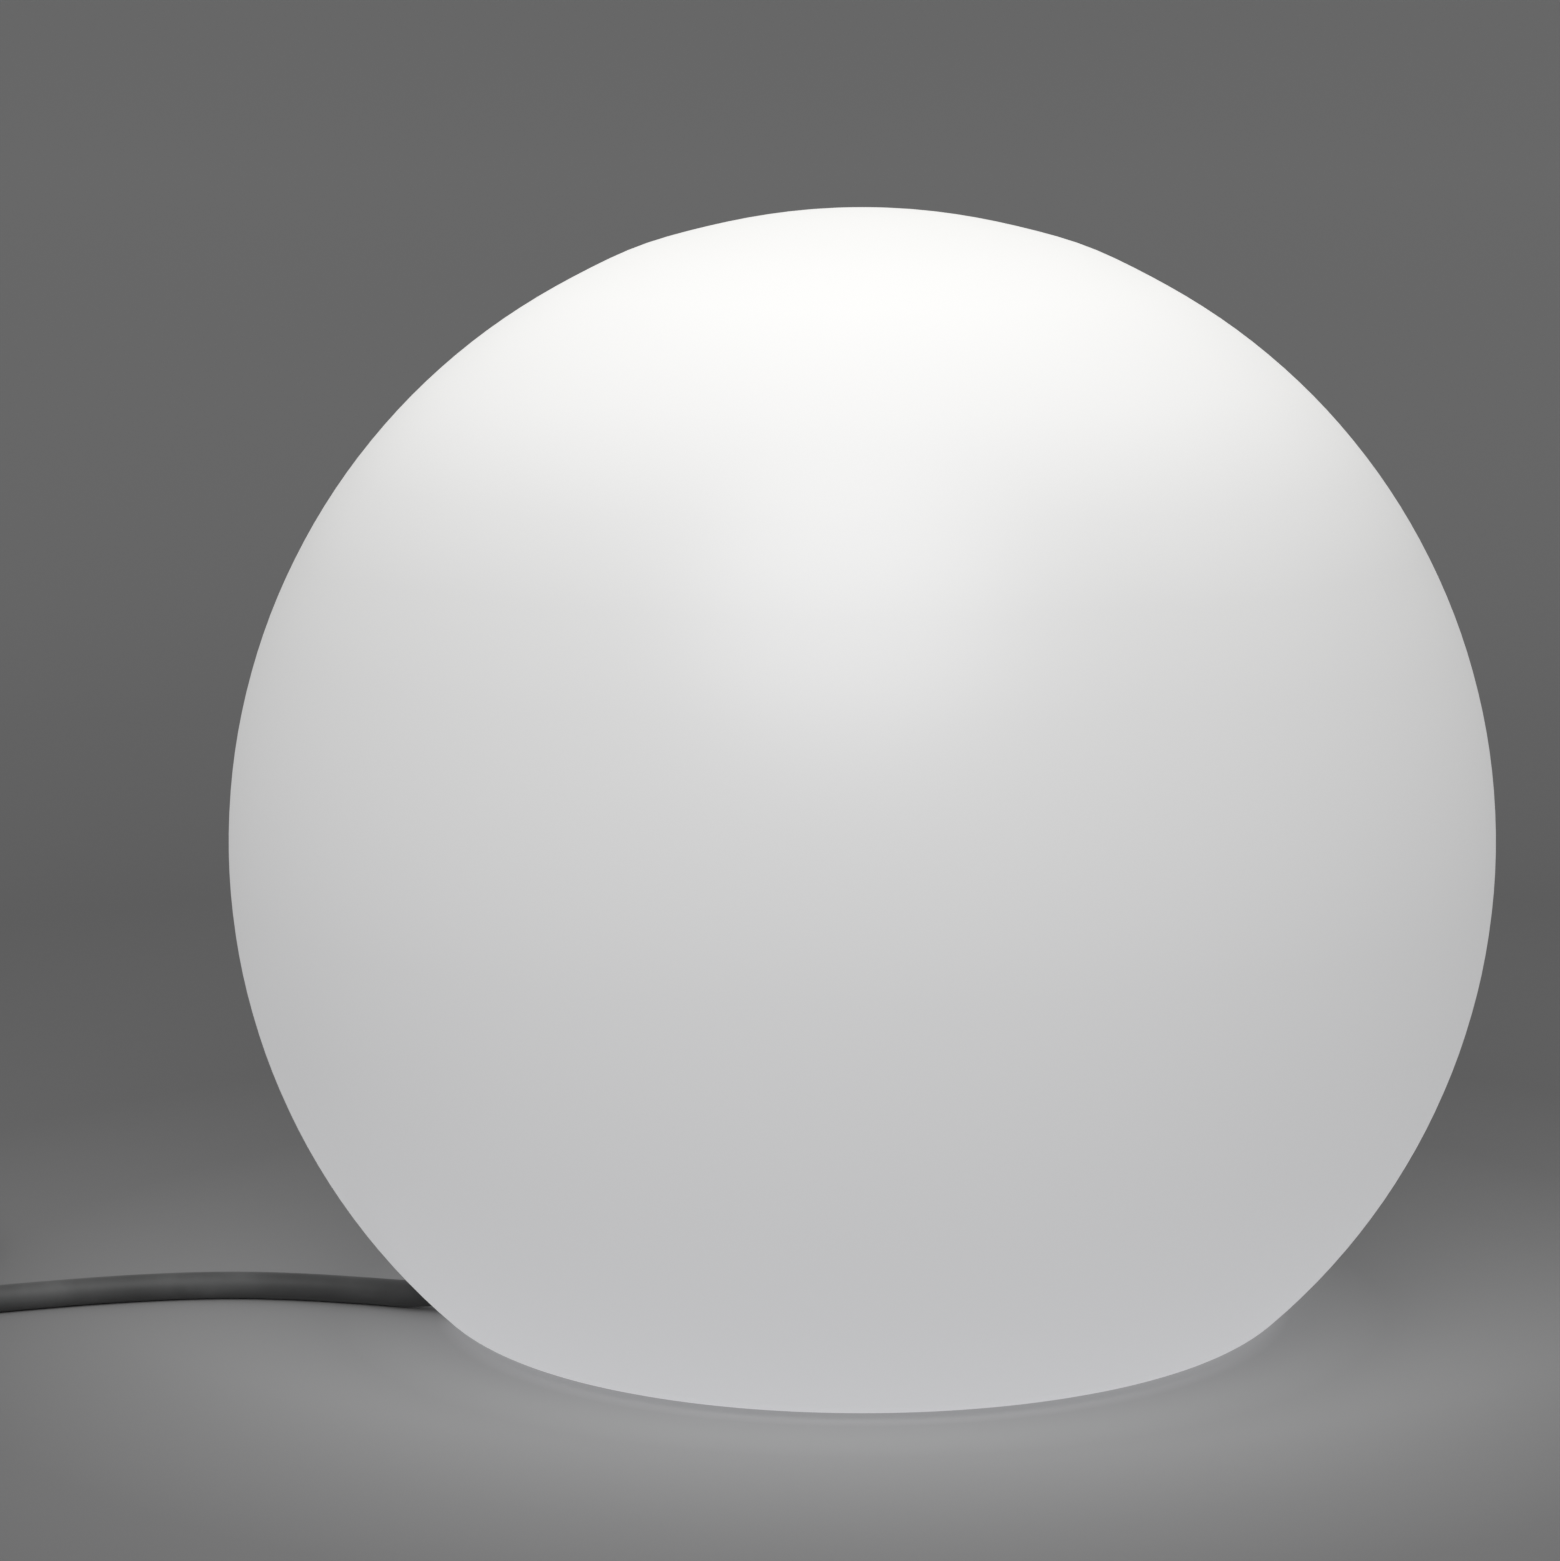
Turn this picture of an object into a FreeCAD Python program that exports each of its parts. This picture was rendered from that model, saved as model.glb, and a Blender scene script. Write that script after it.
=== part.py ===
"""Garden globe light: an opal globe that twists and lifts off a sealed base with a lampholder and cord.

Millimetres, +Z up. The origin is the centre of the globe's footprint on the floor. The front is -Y,
and the cord leaves towards -X. The base is drawn with its cord gland on -X, then turned by GLAND_TURN.
"""

import FreeCAD
import Part

import math
import os

V = FreeCAD.Vector
UP = V(0, 0, 1)
ORIGIN = V(0, 0, 0)

# Clearances
BODY_GAP = 0.3  # between pieces that move against each other
FIT_GAP = 0.05  # between pieces that are fixed together or run on each other
CORD_GAP = 1.5  # round the cord where it passes a wall
PAST = 1.0  # how far a cut runs past the face that it opens
BLIND = 1.0  # wall left under a blind hole

# Globe: a sphere cut flat underneath, moulded in one piece
GLOBE_R = 200.0
GLOBE_WALL = 4.0
GLOBE_EDGE_R = 22.4  # rounding between the sphere and the flat underside
GLOBE_LIP_R = 6.0  # rounding between the flat underside and the recess
UNDERSIDE_W = 16.2  # the flat underside, from the lip's rounding to the edge's
GLOBE_LIFT = 0.5  # underside of the globe above the floor
RECESS_R = 100.0
COLLAR_BODY_H = 10.5  # height of the bayonet collar under the recess roof

# Bayonet
COLLAR_W = 17.5  # from its bore to its rim
COLLAR_RIM_GAP = 1.5  # collar to the side of the recess
GLOBE_HOLE_GAP = 3.5  # collar's bore to the edge of the hole in the recess roof
LUG_COUNT = 4
LUG_SPAN = 6.5  # degrees
LUG_H = 3.0
LUG_REACH = 5.0  # how far a collar lug stands in from the bore
TWIST = 8.0  # degrees from free to locked
STOP_SPAN = 1.3  # degrees, the stop rib behind each collar lug
STOP_GAP = 0.2  # degrees, between the stop rib and the base lug when locked
COLLAR_SCREW_COUNT = 6
COLLAR_SCREW_R = 2.0
COLLAR_SCREW_HEAD_R = 3.2
COLLAR_SCREW_HEAD_H = 2.6
COLLAR_SCREW_IN = 4.2  # screw to the collar's rim

# Base dish
DISH_WALL = 3.0
WELL_R = 45.0  # outside of the round well that holds the wiring
WELL_FLOOR_H = 1.5  # underside of the well above the floor
SKIRT_GAP = 3.5  # skirt to the side of the recess
NECK_GAP = 1.5  # neck to the collar's lugs
GASKET_H = 2.7
GASKET_W = 6.0
GROOVE_DEPTH = 1.5
GROOVE_IN = 3.5  # from the collar's bore to the groove
FOOT_R = 7.0
FOOT_H = 3.0
FOOT_STEM_R = 3.0
FOOT_STEM_H = 4.0
FOOT_COUNT = 4
FOOT_RIM = 2.5  # wall of the boss round a foot's stem

# Cord gland, thread M16
GLAND_TURN = 5.0  # degrees from -X towards the front
GLAND_THREAD_R = 8.0
GLAND_FLAT_R = 9.5  # half the width across the flats
GLAND_UNDER = 0.6  # thread to the well's floor
GLAND_OVER = 1.0  # nut to the underside of the dish's plate
GLAND_FLANGE_L = 5.0
GLAND_INSIDE_L = 1.0  # thread beyond the wall, inside the well
GLAND_STUB_L = 9.5
GLAND_SEAL_L = 7.5
GLAND_SEAL_WALL = 2.3
GLAND_NUT_L = 14.0
GLAND_NUT_END = 3.0
WASHER_L = 1.5
GUARD_IN = 8.2  # tip of the bend guard to the outside of the skirt
GUARD_WALL = 2.6
GUARD_TIP_WALL = 0.9
GUARD_COLLAR_L = 2.0
WELL_FLAT_SIDE = 14.0  # half the width of the flat wall at the gland
WELL_FLAT_OUT = 2.5  # how far the flat wall stands out from the well's wall

# Cord: rubber cable with three cores
CORD_R = 4.35
CORE_R = 1.3
CORE_SPREAD = 9.5  # between the poles of the terminal block

# Connection
CLAMP_IN = 10.5  # from the gland's wall to the middle of the clamp
CLAMP_W = 7.0
CLAMP_H = 3.0
CLAMP_SIDE = 10.0  # screw to the cord's axis
CLAMP_SCREW_R = 1.5
PILLAR_R = 3.4
STRIP_INSIDE = 5.0  # sheath beyond the clamp
CORE_RUN = 26.0  # bare cores, from the sheath's end to the block
BLOCK_L = 18.0
BLOCK_W = 32.0
BLOCK_H = 15.0
BLOCK_BORE_R = 1.8
BLOCK_WELL_R = 2.4
BLOCK_SLEEVE_R = 3.0
BLOCK_SCREW_R = 1.4
TERMINAL_SUNK = 1.0
CORE_H = 7.0  # cores above the well's floor
POLE_GAP = 2.0  # between a core's end and a lead's end
SLIT_W = 0.6
LEAD_OUT = 8.0  # how far the leads stand out past the block
LEAD_BEND = 4.0

# Lampholder and its bracket
BRACKET_OUT = 8.0  # from the well's side to the bracket's screw
BRACKET_RISE = 18.0
BRACKET_W = 22.0
BRACKET_T = 2.0
BRACKET_FOOT = 13.0
BRACKET_SCREW_R = 2.0
BRACKET_BOSS_R = 5.0
BRACKET_BOSS_H = 3.0
NIPPLE_R = 5.0
NIPPLE_BORE_R = 3.6
NIPPLE_BELOW = 6.0
NUT_H = 3.0
NUT_FLAT_R = 7.0
CUP_R = 21.5
CUP_H = 57.0
CUP_WALL = 2.5
CUP_FLOOR = 4.0
CUP_LIP = 2.0
INSERT_H = 14.0
INSERT_ABOVE = 3.0  # cup floor to the insert
SLEEVE_R = 13.35  # bore of the threaded sleeve
SLEEVE_T = 0.5
SLEEVE_H = 27.0
CONTACT_H = 4.0
CONTACT_W = 7.0
CONTACT_T = 0.8
SEAL_W = 3.6
SEAL_H = 3.4
TERMINAL_SIDE = 10.5
EARTH_TAG_T = 0.8
EARTH_TAG_W = 4.2
EARTH_TAG_L = 16.0

# Bulb with an E27 cap
CAP_R = 13.1
CAP_THREAD = 0.9  # depth of the thread
CAP_WALL = 0.5
CAP_PITCH = 3.629
CAP_TURNS = 5
CAP_H = 24.0
CAP_TIP_R = 4.6
CAP_TIP_H = 2.0
INSULATOR_H = 3.5
BULB_NECK_R = 14.0
BULB_NECK_H = 9.0
BULB_HOUSING_H = 42.0
BULB_R = 30.0
BULB_WALL = 1.5
BULB_DOME_BASE_R = 28.0
BOARD_T = 1.6
LED_COUNT = 12
LED_SIDE = 3.0
LED_T = 0.8
LED_RING_R = 17.0
DRIVER_W = 16.0
DRIVER_H = 26.0
DRIVER_T = 1.6
CAPACITOR_R = 4.0
CAPACITOR_L = 6.0
CHOKE_W = 8.0
CHOKE_T = 5.0

# Cord coil, plug and ties
LAYER_TURNS = 2.25
LAST_TURNS = 2.0
LAYERS = 4
COIL_R = 57.6  # centreline of the outermost turn
COIL_GAP = 0.6  # between neighbouring turns
TIE_T = 0.8
TIE_W = 14.0
TIE_GAP = 0.4
TIE_ANGLES = (45.0, 225.0)
PLUG_DROP = 95.0  # from the coil's end to the plug, along Y
PLUG_ASIDE = 1.8
PLUG_R = 19.5
PLUG_GRIP_R = 15.0
PLUG_L = 42.0
PLUG_FLANGE_L = 14.0
PLUG_RELIEF_L = 30.0
PLUG_RELIEF_R = 7.0
PLUG_FACE_R = 15.5
PLUG_FACE_L = 6.0
PIN_R = 2.4
PIN_L = 19.0
PIN_PITCH = 19.0
PIN_INSIDE = 12.0
PIN_ROOT_R = 2.8  # the stouter part of a pin, inside the plug
CLIP_W = 5.0
CLIP_T = 1.0
CLIP_L = 12.0

# Heights and places that follow from the sizes above
EDGE_AT = RECESS_R + GLOBE_LIP_R + UNDERSIDE_W
GLOBE_CENTRE_H = GLOBE_EDGE_R + math.sqrt((GLOBE_R - GLOBE_EDGE_R) ** 2 - EDGE_AT ** 2)
GLOBE_CENTRE_Z = GLOBE_LIFT + GLOBE_CENTRE_H
NUT_CORNER_R = GLAND_FLAT_R / math.cos(math.pi / 6)
WELL_FLOOR_TOP = WELL_FLOOR_H + DISH_WALL
GLAND_Z = WELL_FLOOR_TOP + GLAND_UNDER + GLAND_THREAD_R
PLATE_Z = GLAND_Z + NUT_CORNER_R + GLAND_OVER
PLATE_TOP = PLATE_Z + DISH_WALL
GASKET_Z = PLATE_TOP - GROOVE_DEPTH + BODY_GAP
COLLAR_Z = GASKET_Z + GASKET_H + BODY_GAP
COLLAR_LUG_TOP = COLLAR_Z + LUG_H
DISH_LUG_Z = COLLAR_LUG_TOP + BODY_GAP
NECK_TOP = DISH_LUG_Z + LUG_H
RECESS_ROOF_Z = COLLAR_Z + COLLAR_BODY_H
COLLAR_R = RECESS_R - COLLAR_RIM_GAP
COLLAR_BORE_R = COLLAR_R - COLLAR_W
NECK_R = COLLAR_BORE_R - LUG_REACH - NECK_GAP
DISH_LUG_R = COLLAR_BORE_R - BODY_GAP * 3
SKIRT_R = RECESS_R - SKIRT_GAP
GASKET_R0 = COLLAR_BORE_R + GROOVE_IN
GASKET_R1 = GASKET_R0 + GASKET_W
FOOT_AT = SKIRT_R - DISH_WALL / 2 - FOOT_STEM_R - FOOT_RIM
WELL_INSIDE_R = WELL_R - DISH_WALL
GLAND_WALL_X = -(WELL_R + WELL_FLAT_OUT)
GLAND_WALL_IN_X = GLAND_WALL_X + DISH_WALL
GLAND_FLANGE_X = GLAND_WALL_X - WASHER_L - GLAND_FLANGE_L
GLAND_STUB_X = GLAND_FLANGE_X - GLAND_STUB_L
NUT_X0 = GLAND_FLANGE_X - BODY_GAP
NUT_X1 = NUT_X0 - GLAND_NUT_L
GUARD_X = GUARD_IN - SKIRT_R
CLAMP_AT = GLAND_WALL_IN_X + CLAMP_IN
CORD_IN_X = CLAMP_AT + CLAMP_W / 2 + STRIP_INSIDE
BLOCK_AT = CORD_IN_X + CORE_RUN
BRACKET_SPAN = WELL_R + BRACKET_OUT
BRACKET_Z = PLATE_TOP + BRACKET_BOSS_H + BRACKET_RISE
CUP_Z = BRACKET_Z + BRACKET_T
INSERT_Z = CUP_Z + CUP_FLOOR + INSERT_ABOVE
CONTACT_Z = INSERT_Z + INSERT_H
CUP_TOP = CUP_Z + CUP_H
SEAL_Z = CUP_TOP - CUP_LIP - BODY_GAP - SEAL_H
TIP_Z = CONTACT_Z + CONTACT_H + BODY_GAP
CAP_Z = TIP_Z + CAP_TIP_H + INSULATOR_H
HOUSING_Z = CAP_Z + CAP_H - FIT_GAP
BOARD_Z = HOUSING_Z + BULB_HOUSING_H
BLOCK_X1 = BLOCK_AT + BLOCK_L
BLOCK_MIDDLE = BLOCK_AT + BLOCK_L / 2
CORE_Z = WELL_FLOOR_TOP + CORE_H

# The free cord's route on the floor, from the bend guard to the coil. The first point is the guard's end.
GLAND_DIR = V(-math.cos(math.radians(GLAND_TURN)), -math.sin(math.radians(GLAND_TURN)), 0)
CORD_START = GLAND_DIR * -GUARD_X + UP * GLAND_Z
COIL_Z = CORD_R + TIE_T + TIE_GAP / 2
FIRST_RUN = 17.0
CORD_ROUTE = [
    CORD_START,
    CORD_START + GLAND_DIR * FIRST_RUN,
    V(-125.0, -10.6, CORD_R + 4.0),
    V(-141.5, -7.6, CORD_R + 0.3),
    V(-159.0, -1.6, CORD_R),
    V(-180.0, 3.6, CORD_R),
    V(-203.0, 6.2, CORD_R),
    V(-226.0, 4.0, CORD_R),
    V(-250.0, -1.6, CORD_R),
    V(-275.0, -10.0, CORD_R),
    V(-300.0, -19.6, CORD_R),
    V(-325.0, -26.3, COIL_Z),
    V(-350.0, -26.3, COIL_Z),
]
SLOT_POINT = CORD_ROUTE[3]  # where the cord passes the globe's edge


def add(*shapes):
    """One solid from solids that touch or overlap."""
    whole = shapes[0].fuse(list(shapes[1:])) if len(shapes) > 1 else shapes[0]
    return whole.removeSplitter()


def cut(shape, *tools):
    """The shape with the tools taken out of it."""
    return shape.cut(list(tools))


def group(shapes):
    """Separate solids kept together in one piece of the parts list."""
    return Part.Compound(list(shapes))


def cyl(radius, z0, z1, x=0.0, y=0.0):
    """An upright cylinder."""
    return Part.makeCylinder(radius, z1 - z0, V(x, y, z0))


def ring(inner, outer, z0, z1):
    """An upright ring about the Z axis."""
    return cut(cyl(outer, z0, z1), cyl(inner, z0, z1))


def box(x0, x1, y0, y1, z0, z1):
    """A block between six planes."""
    return Part.makeBox(x1 - x0, y1 - y0, z1 - z0, V(x0, y0, z0))


def rod_x(radius, x0, x1, y=0.0, z=0.0):
    """A cylinder along X, from the lower x to the higher."""
    return Part.makeCylinder(radius, x1 - x0, V(x0, y, z), V(1, 0, 0))


def hexagon_x(flat_r, x0, x1, z):
    """A hexagonal prism along X with a corner up."""
    corner = flat_r / math.cos(math.pi / 6)
    points = []
    for step in range(7):
        angle = math.radians(60 * step + 90)
        points.append(V(x0, corner * math.cos(angle), z + corner * math.sin(angle)))
    return Part.Face(Part.makePolygon(points)).extrude(V(x1 - x0, 0, 0))


def hexagon_z(flat_r, z0, z1):
    """A hexagonal prism about the Z axis."""
    corner = flat_r / math.cos(math.pi / 6)
    points = []
    for step in range(7):
        angle = math.radians(60 * step)
        points.append(V(corner * math.cos(angle), corner * math.sin(angle), z0))
    return Part.Face(Part.makePolygon(points)).extrude(V(0, 0, z1 - z0))


def revolved(outline, start=0.0, span=360.0):
    """A solid of revolution about Z from (radius, height) corners, over part of a turn."""
    points = [V(r, 0, z) for r, z in outline]
    face = Part.Face(Part.makePolygon(points + points[:1]))
    face.rotate(ORIGIN, UP, start)
    return face.revolve(ORIGIN, UP, span)


def arc_sector(inner, outer, z0, z1, start, span):
    """Part of an upright ring, over part of a turn."""
    return revolved([(inner, z0), (outer, z0), (outer, z1), (inner, z1)], start, span)


def polar(radius, angle, z=0.0):
    """The point at this radius and angle in degrees."""
    return V(radius * math.cos(math.radians(angle)), radius * math.sin(math.radians(angle)), z)


def turned(shape, angle):
    """The shape turned about Z."""
    copy = shape.copy()
    copy.rotate(ORIGIN, UP, angle)
    return copy


def screw(radius, length, head_r, head_h):
    """A pan-head screw that points up: its head's top is at z = 0, and its thread runs up from the head."""
    head = cyl(head_r, 0, head_h)
    shank = cyl(radius, head_h - FIT_GAP, head_h + length)
    drive = box(-head_r / 6, head_r / 6, -head_r * 0.7, head_r * 0.7, 0, head_h / 2)
    cross = turned(drive, 90)
    return cut(add(head, shank), drive, cross)


def screw_down(radius, length, head_r, head_h, at):
    """A pan-head screw that points down, with the underside of its head at the given point."""
    shape = screw(radius, length, head_r, head_h)
    shape.rotate(ORIGIN, V(1, 0, 0), 180)
    shape.translate(at + UP * head_h)
    return shape


def run_wire(points):
    """Straight runs joined by tangent arcs, each as large as its two runs allow."""
    edges = []
    radii = []
    start = points[0]
    for i in range(1, len(points) - 1):
        before = points[i] - points[i - 1]
        after = points[i + 1] - points[i]
        turn = before.getAngle(after)
        reach = 0.45 * min(before.Length, after.Length)
        into = V(before).normalize()
        out = V(after).normalize()
        arc_start = points[i] - into * reach
        arc_end = points[i] + out * reach
        radius = reach / math.tan(turn / 2)
        radii.append(radius)
        inward = (out - into).normalize()
        middle = points[i] + inward * (radius / math.cos(turn / 2) - radius)
        edges.append(Part.LineSegment(start, arc_start).toShape())
        edges.append(Part.Arc(arc_start, middle, arc_end).toShape())
        start = arc_end
    edges.append(Part.LineSegment(start, points[-1]).toShape())
    return Part.Wire(edges), radii


def tube(points, radius, name):
    """A round tube along the runs; prints its length and its tightest bend."""
    wire, radii = run_wire(points)
    along = (points[1] - points[0]).normalize()
    circle = Part.Wire(Part.Circle(points[0], along, radius).toShape())
    solid = wire.makePipeShell([circle], True, False)
    wanted = math.pi * radius * radius * wire.Length
    share = solid.Volume / wanted
    print(f"{name}: length {wire.Length:.1f}, volume {share:.4f} of section times length, "
          f"radii {[round(r, 1) for r in radii]}")
    return solid


# ---------------------------------------------------------------- globe


def globe_outline(offset):
    """The edges of the globe's outer side, from the top to the flat underside, moved in by an offset."""
    radius = GLOBE_R - offset
    edge_r = GLOBE_EDGE_R - offset
    bottom = GLOBE_LIFT + offset
    edge_z = GLOBE_LIFT + GLOBE_EDGE_R
    dip = math.atan2(GLOBE_CENTRE_Z - edge_z, EDGE_AT)
    centre = V(0, 0, GLOBE_CENTRE_Z)
    edge_centre = V(EDGE_AT, 0, edge_z)

    def on(middle, size, angle):
        return middle + V(size * math.cos(angle), 0, size * math.sin(angle))

    halfway = (math.pi / 2 - dip) / 2
    top = on(centre, radius, math.pi / 2)
    meet = on(centre, radius, -dip)
    foot = V(EDGE_AT, 0, bottom)
    sphere = Part.Arc(top, on(centre, radius, halfway), meet).toShape()
    bend = Part.Arc(meet, on(edge_centre, edge_r, -(dip + math.pi / 2) / 2), foot).toShape()
    return [sphere, bend], top, foot


def lip_edges(foot, offset):
    """The underside from the rounded edge in to the recess, and the lip up into the recess."""
    radius = GLOBE_LIP_R - offset
    middle = V(RECESS_R + GLOBE_LIP_R, 0, GLOBE_LIFT + GLOBE_LIP_R)
    start = middle - UP * radius
    end = middle - V(radius, 0, 0)
    slant = radius * math.sqrt(0.5)
    line = Part.LineSegment(foot, start).toShape()
    bend = Part.Arc(start, middle - V(slant, 0, slant), end).toShape()
    return [line, bend], end


def globe_body(offset):
    """The solid inside the globe's outer skin, moved in by an offset, with the recess left out."""
    side, top, foot = globe_outline(offset)
    lip, end = lip_edges(foot, offset)
    roof_z = RECESS_ROOF_Z + offset
    corner = V(RECESS_R + offset, 0, roof_z)
    middle = V(0, 0, roof_z)
    rest = [
        Part.LineSegment(end, corner).toShape(),
        Part.LineSegment(corner, middle).toShape(),
        Part.LineSegment(middle, top).toShape(),
    ]
    face = Part.Face(Part.Wire(side + lip + rest))
    return face.revolve(ORIGIN, UP, 360)


def slot_span():
    """The start and span in degrees of the slot that the cord passes, also while the globe twists."""
    angle = math.degrees(math.atan2(SLOT_POINT.y, SLOT_POINT.x)) % 360
    margin = math.degrees((CORD_R + CORD_GAP) / RECESS_R)
    gland_angle = 180 + GLAND_TURN
    start = min(angle, gland_angle) - TWIST - margin
    end = max(angle, gland_angle) + margin
    return start, end - start


def slot(grown):
    """The slot under the globe's edge, grown by a wall. It is lower at the outside, as the cord is."""
    start, span = slot_span()
    rise = CORD_R + CORD_GAP + grown
    inner_z = GLAND_Z + rise
    outer_z = CORD_R + rise
    inner = RECESS_R - CORD_GAP
    knee = CORD_ROUTE[1].Length
    outer = SLOT_POINT.Length
    beyond = GLOBE_R
    side = math.degrees(grown / RECESS_R)
    outline = [
        (inner, -CORD_R),
        (beyond, -CORD_R),
        (beyond, outer_z),
        (outer, outer_z),
        (knee, inner_z),
        (inner, inner_z),
    ]
    return revolved(outline, start - side, span + 2 * side)


def globe_shell():
    """The hollow globe, with its recess, the collar's hole and the cord's slot."""
    outside = cut(globe_body(0), slot(0))
    inside = cut(globe_body(GLOBE_WALL), slot(GLOBE_WALL))
    hole_r = COLLAR_BORE_R + GLOBE_HOLE_GAP
    hole = cyl(hole_r, RECESS_ROOF_Z - GLOBE_WALL, RECESS_ROOF_Z + GLOBE_WALL * 2)
    shell = cut(outside, inside, hole)
    return cut(shell, *collar_screw_holes())


def collar_screw_places():
    """Where the collar's screws stand, between its bayonet lugs."""
    radius = COLLAR_R - COLLAR_SCREW_IN
    step = 360 / COLLAR_SCREW_COUNT
    return [polar(radius, GLAND_TURN + step * (i + 0.5)) for i in range(COLLAR_SCREW_COUNT)]


def collar_screw_holes():
    """The holes for the collar's screws, through the collar and the recess roof."""
    top = RECESS_ROOF_Z + GLOBE_WALL * 2
    return [cyl(COLLAR_SCREW_R + FIT_GAP, COLLAR_Z, top, p.x, p.y) for p in collar_screw_places()]


def lug_angles():
    """Where each collar lug starts, in degrees."""
    step = 360 / LUG_COUNT
    return [GLAND_TURN + step * i for i in range(LUG_COUNT)]


def globe_collar():
    """The bayonet ring under the recess roof, with lugs and stop ribs that stand in from its bore."""
    pieces = [ring(COLLAR_BORE_R, COLLAR_R, COLLAR_Z, RECESS_ROOF_Z)]
    inner = COLLAR_BORE_R - LUG_REACH
    outer = COLLAR_BORE_R + FIT_GAP * 2
    for angle in lug_angles():
        stop = angle - STOP_GAP - STOP_SPAN
        span = LUG_SPAN + STOP_SPAN + STOP_GAP
        pieces.append(arc_sector(inner, outer, COLLAR_Z, COLLAR_LUG_TOP, stop, span))
        pieces.append(arc_sector(inner, outer, COLLAR_Z, NECK_TOP, stop, STOP_SPAN))
    collar = add(*pieces)
    heads = []
    for place in collar_screw_places():
        head_r = COLLAR_SCREW_HEAD_R + BODY_GAP
        heads.append(cyl(head_r, COLLAR_Z, COLLAR_Z + COLLAR_SCREW_HEAD_H, place.x, place.y))
    return cut(collar, *heads, *collar_screw_holes())


def collar_screws():
    """The screws that hold the collar to the globe."""
    length = RECESS_ROOF_Z + GLOBE_WALL - COLLAR_Z - COLLAR_SCREW_HEAD_H
    shapes = []
    for place in collar_screw_places():
        shape = screw(COLLAR_SCREW_R, length, COLLAR_SCREW_HEAD_R, COLLAR_SCREW_HEAD_H)
        shape.translate(V(place.x, place.y, COLLAR_Z))
        shapes.append(shape)
    return group(shapes)


# ---------------------------------------------------------------- base


def foot_places():
    """The centres of the feet, between the quarters of the dish."""
    step = 360 / FOOT_COUNT
    return [polar(FOOT_AT, step * (i + 0.5)) for i in range(FOOT_COUNT)]


def base_dish():
    """The moulded base: a round well, a plate round it, a skirt down to the feet and a neck with lugs."""
    plate = cyl(SKIRT_R, PLATE_Z, PLATE_TOP)
    skirt = ring(SKIRT_R - DISH_WALL, SKIRT_R, FOOT_H, PLATE_TOP)
    well = cyl(WELL_R, WELL_FLOOR_H, PLATE_TOP)
    flat_y = WELL_FLAT_SIDE + DISH_WALL
    flat = box(GLAND_WALL_X, 0, -flat_y, flat_y, WELL_FLOOR_H, PLATE_TOP)
    neck = ring(NECK_R - DISH_WALL, NECK_R, PLATE_TOP - FIT_GAP, NECK_TOP)
    pieces = [plate, skirt, well, flat, neck]
    for angle in lug_angles():
        start = angle - GLAND_TURN + TWIST
        pieces.append(arc_sector(NECK_R - FIT_GAP * 2, DISH_LUG_R, DISH_LUG_Z, NECK_TOP, start, LUG_SPAN))
    boss_r = FOOT_STEM_R + FOOT_RIM
    for place in foot_places():
        pieces.append(cyl(boss_r, FOOT_H, PLATE_TOP, place.x, place.y))
    boss_top = PLATE_TOP + BRACKET_BOSS_H
    for side in (-1, 1):
        pieces.append(cyl(BRACKET_BOSS_R, PLATE_TOP - FIT_GAP, boss_top, 0, side * BRACKET_SPAN))
    body = add(*pieces)
    cavity = cyl(WELL_INSIDE_R, WELL_FLOOR_TOP, PLATE_TOP + PAST)
    cavity_flat = box(GLAND_WALL_IN_X, 0, -WELL_FLAT_SIDE, WELL_FLAT_SIDE, WELL_FLOOR_TOP, PLATE_TOP + PAST)
    groove = ring(GASKET_R0 - BODY_GAP, GASKET_R1 + BODY_GAP, GASKET_Z - BODY_GAP, PLATE_TOP + PAST)
    gland_hole = rod_x(GLAND_THREAD_R + FIT_GAP, GLAND_WALL_X - PAST, GLAND_WALL_IN_X + PAST, 0, GLAND_Z)
    notch_side = CORD_R + CORD_GAP
    notch = box(-SKIRT_R - PAST, GUARD_X, -notch_side, notch_side, 0, GLAND_Z + notch_side)
    body = cut(body, cavity, cavity_flat, groove, gland_hole, notch)
    stems = []
    for place in foot_places():
        stems.append(cyl(FOOT_STEM_R + FIT_GAP, 0, FOOT_H + FOOT_STEM_H + FIT_GAP, place.x, place.y))
    body = cut(body, *stems)
    pillars = []
    for side in (-1, 1):
        pillars.append(cyl(PILLAR_R, WELL_FLOOR_TOP - FIT_GAP, pillar_top(), CLAMP_AT, side * CLAMP_SIDE))
    rest_x = CLAMP_W / 2
    rest = box(CLAMP_AT - rest_x, CLAMP_AT + rest_x, -CORD_R, CORD_R, WELL_FLOOR_TOP - FIT_GAP, GLAND_Z)
    rest = cut(rest, rod_x(CORD_R + FIT_GAP, CLAMP_AT - rest_x - PAST, CLAMP_AT + rest_x + PAST, 0, GLAND_Z))
    body = add(body, rest, *pillars)
    return cut(body, *clamp_screw_holes(), *bracket_screw_holes(), block_screw_hole())


def base_feet():
    """Rubber feet, each with a stem pressed into its boss."""
    shapes = []
    for place in foot_places():
        pad = cyl(FOOT_R, 0, FOOT_H - FIT_GAP, place.x, place.y)
        stem = cyl(FOOT_STEM_R, FOOT_H - PAST, FOOT_H + FOOT_STEM_H, place.x, place.y)
        shapes.append(add(pad, stem))
    return group(shapes)


def base_gasket():
    """The flat sealing ring in the plate's groove."""
    return ring(GASKET_R0, GASKET_R1, GASKET_Z, GASKET_Z + GASKET_H)


# ---------------------------------------------------------------- cord entry


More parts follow.
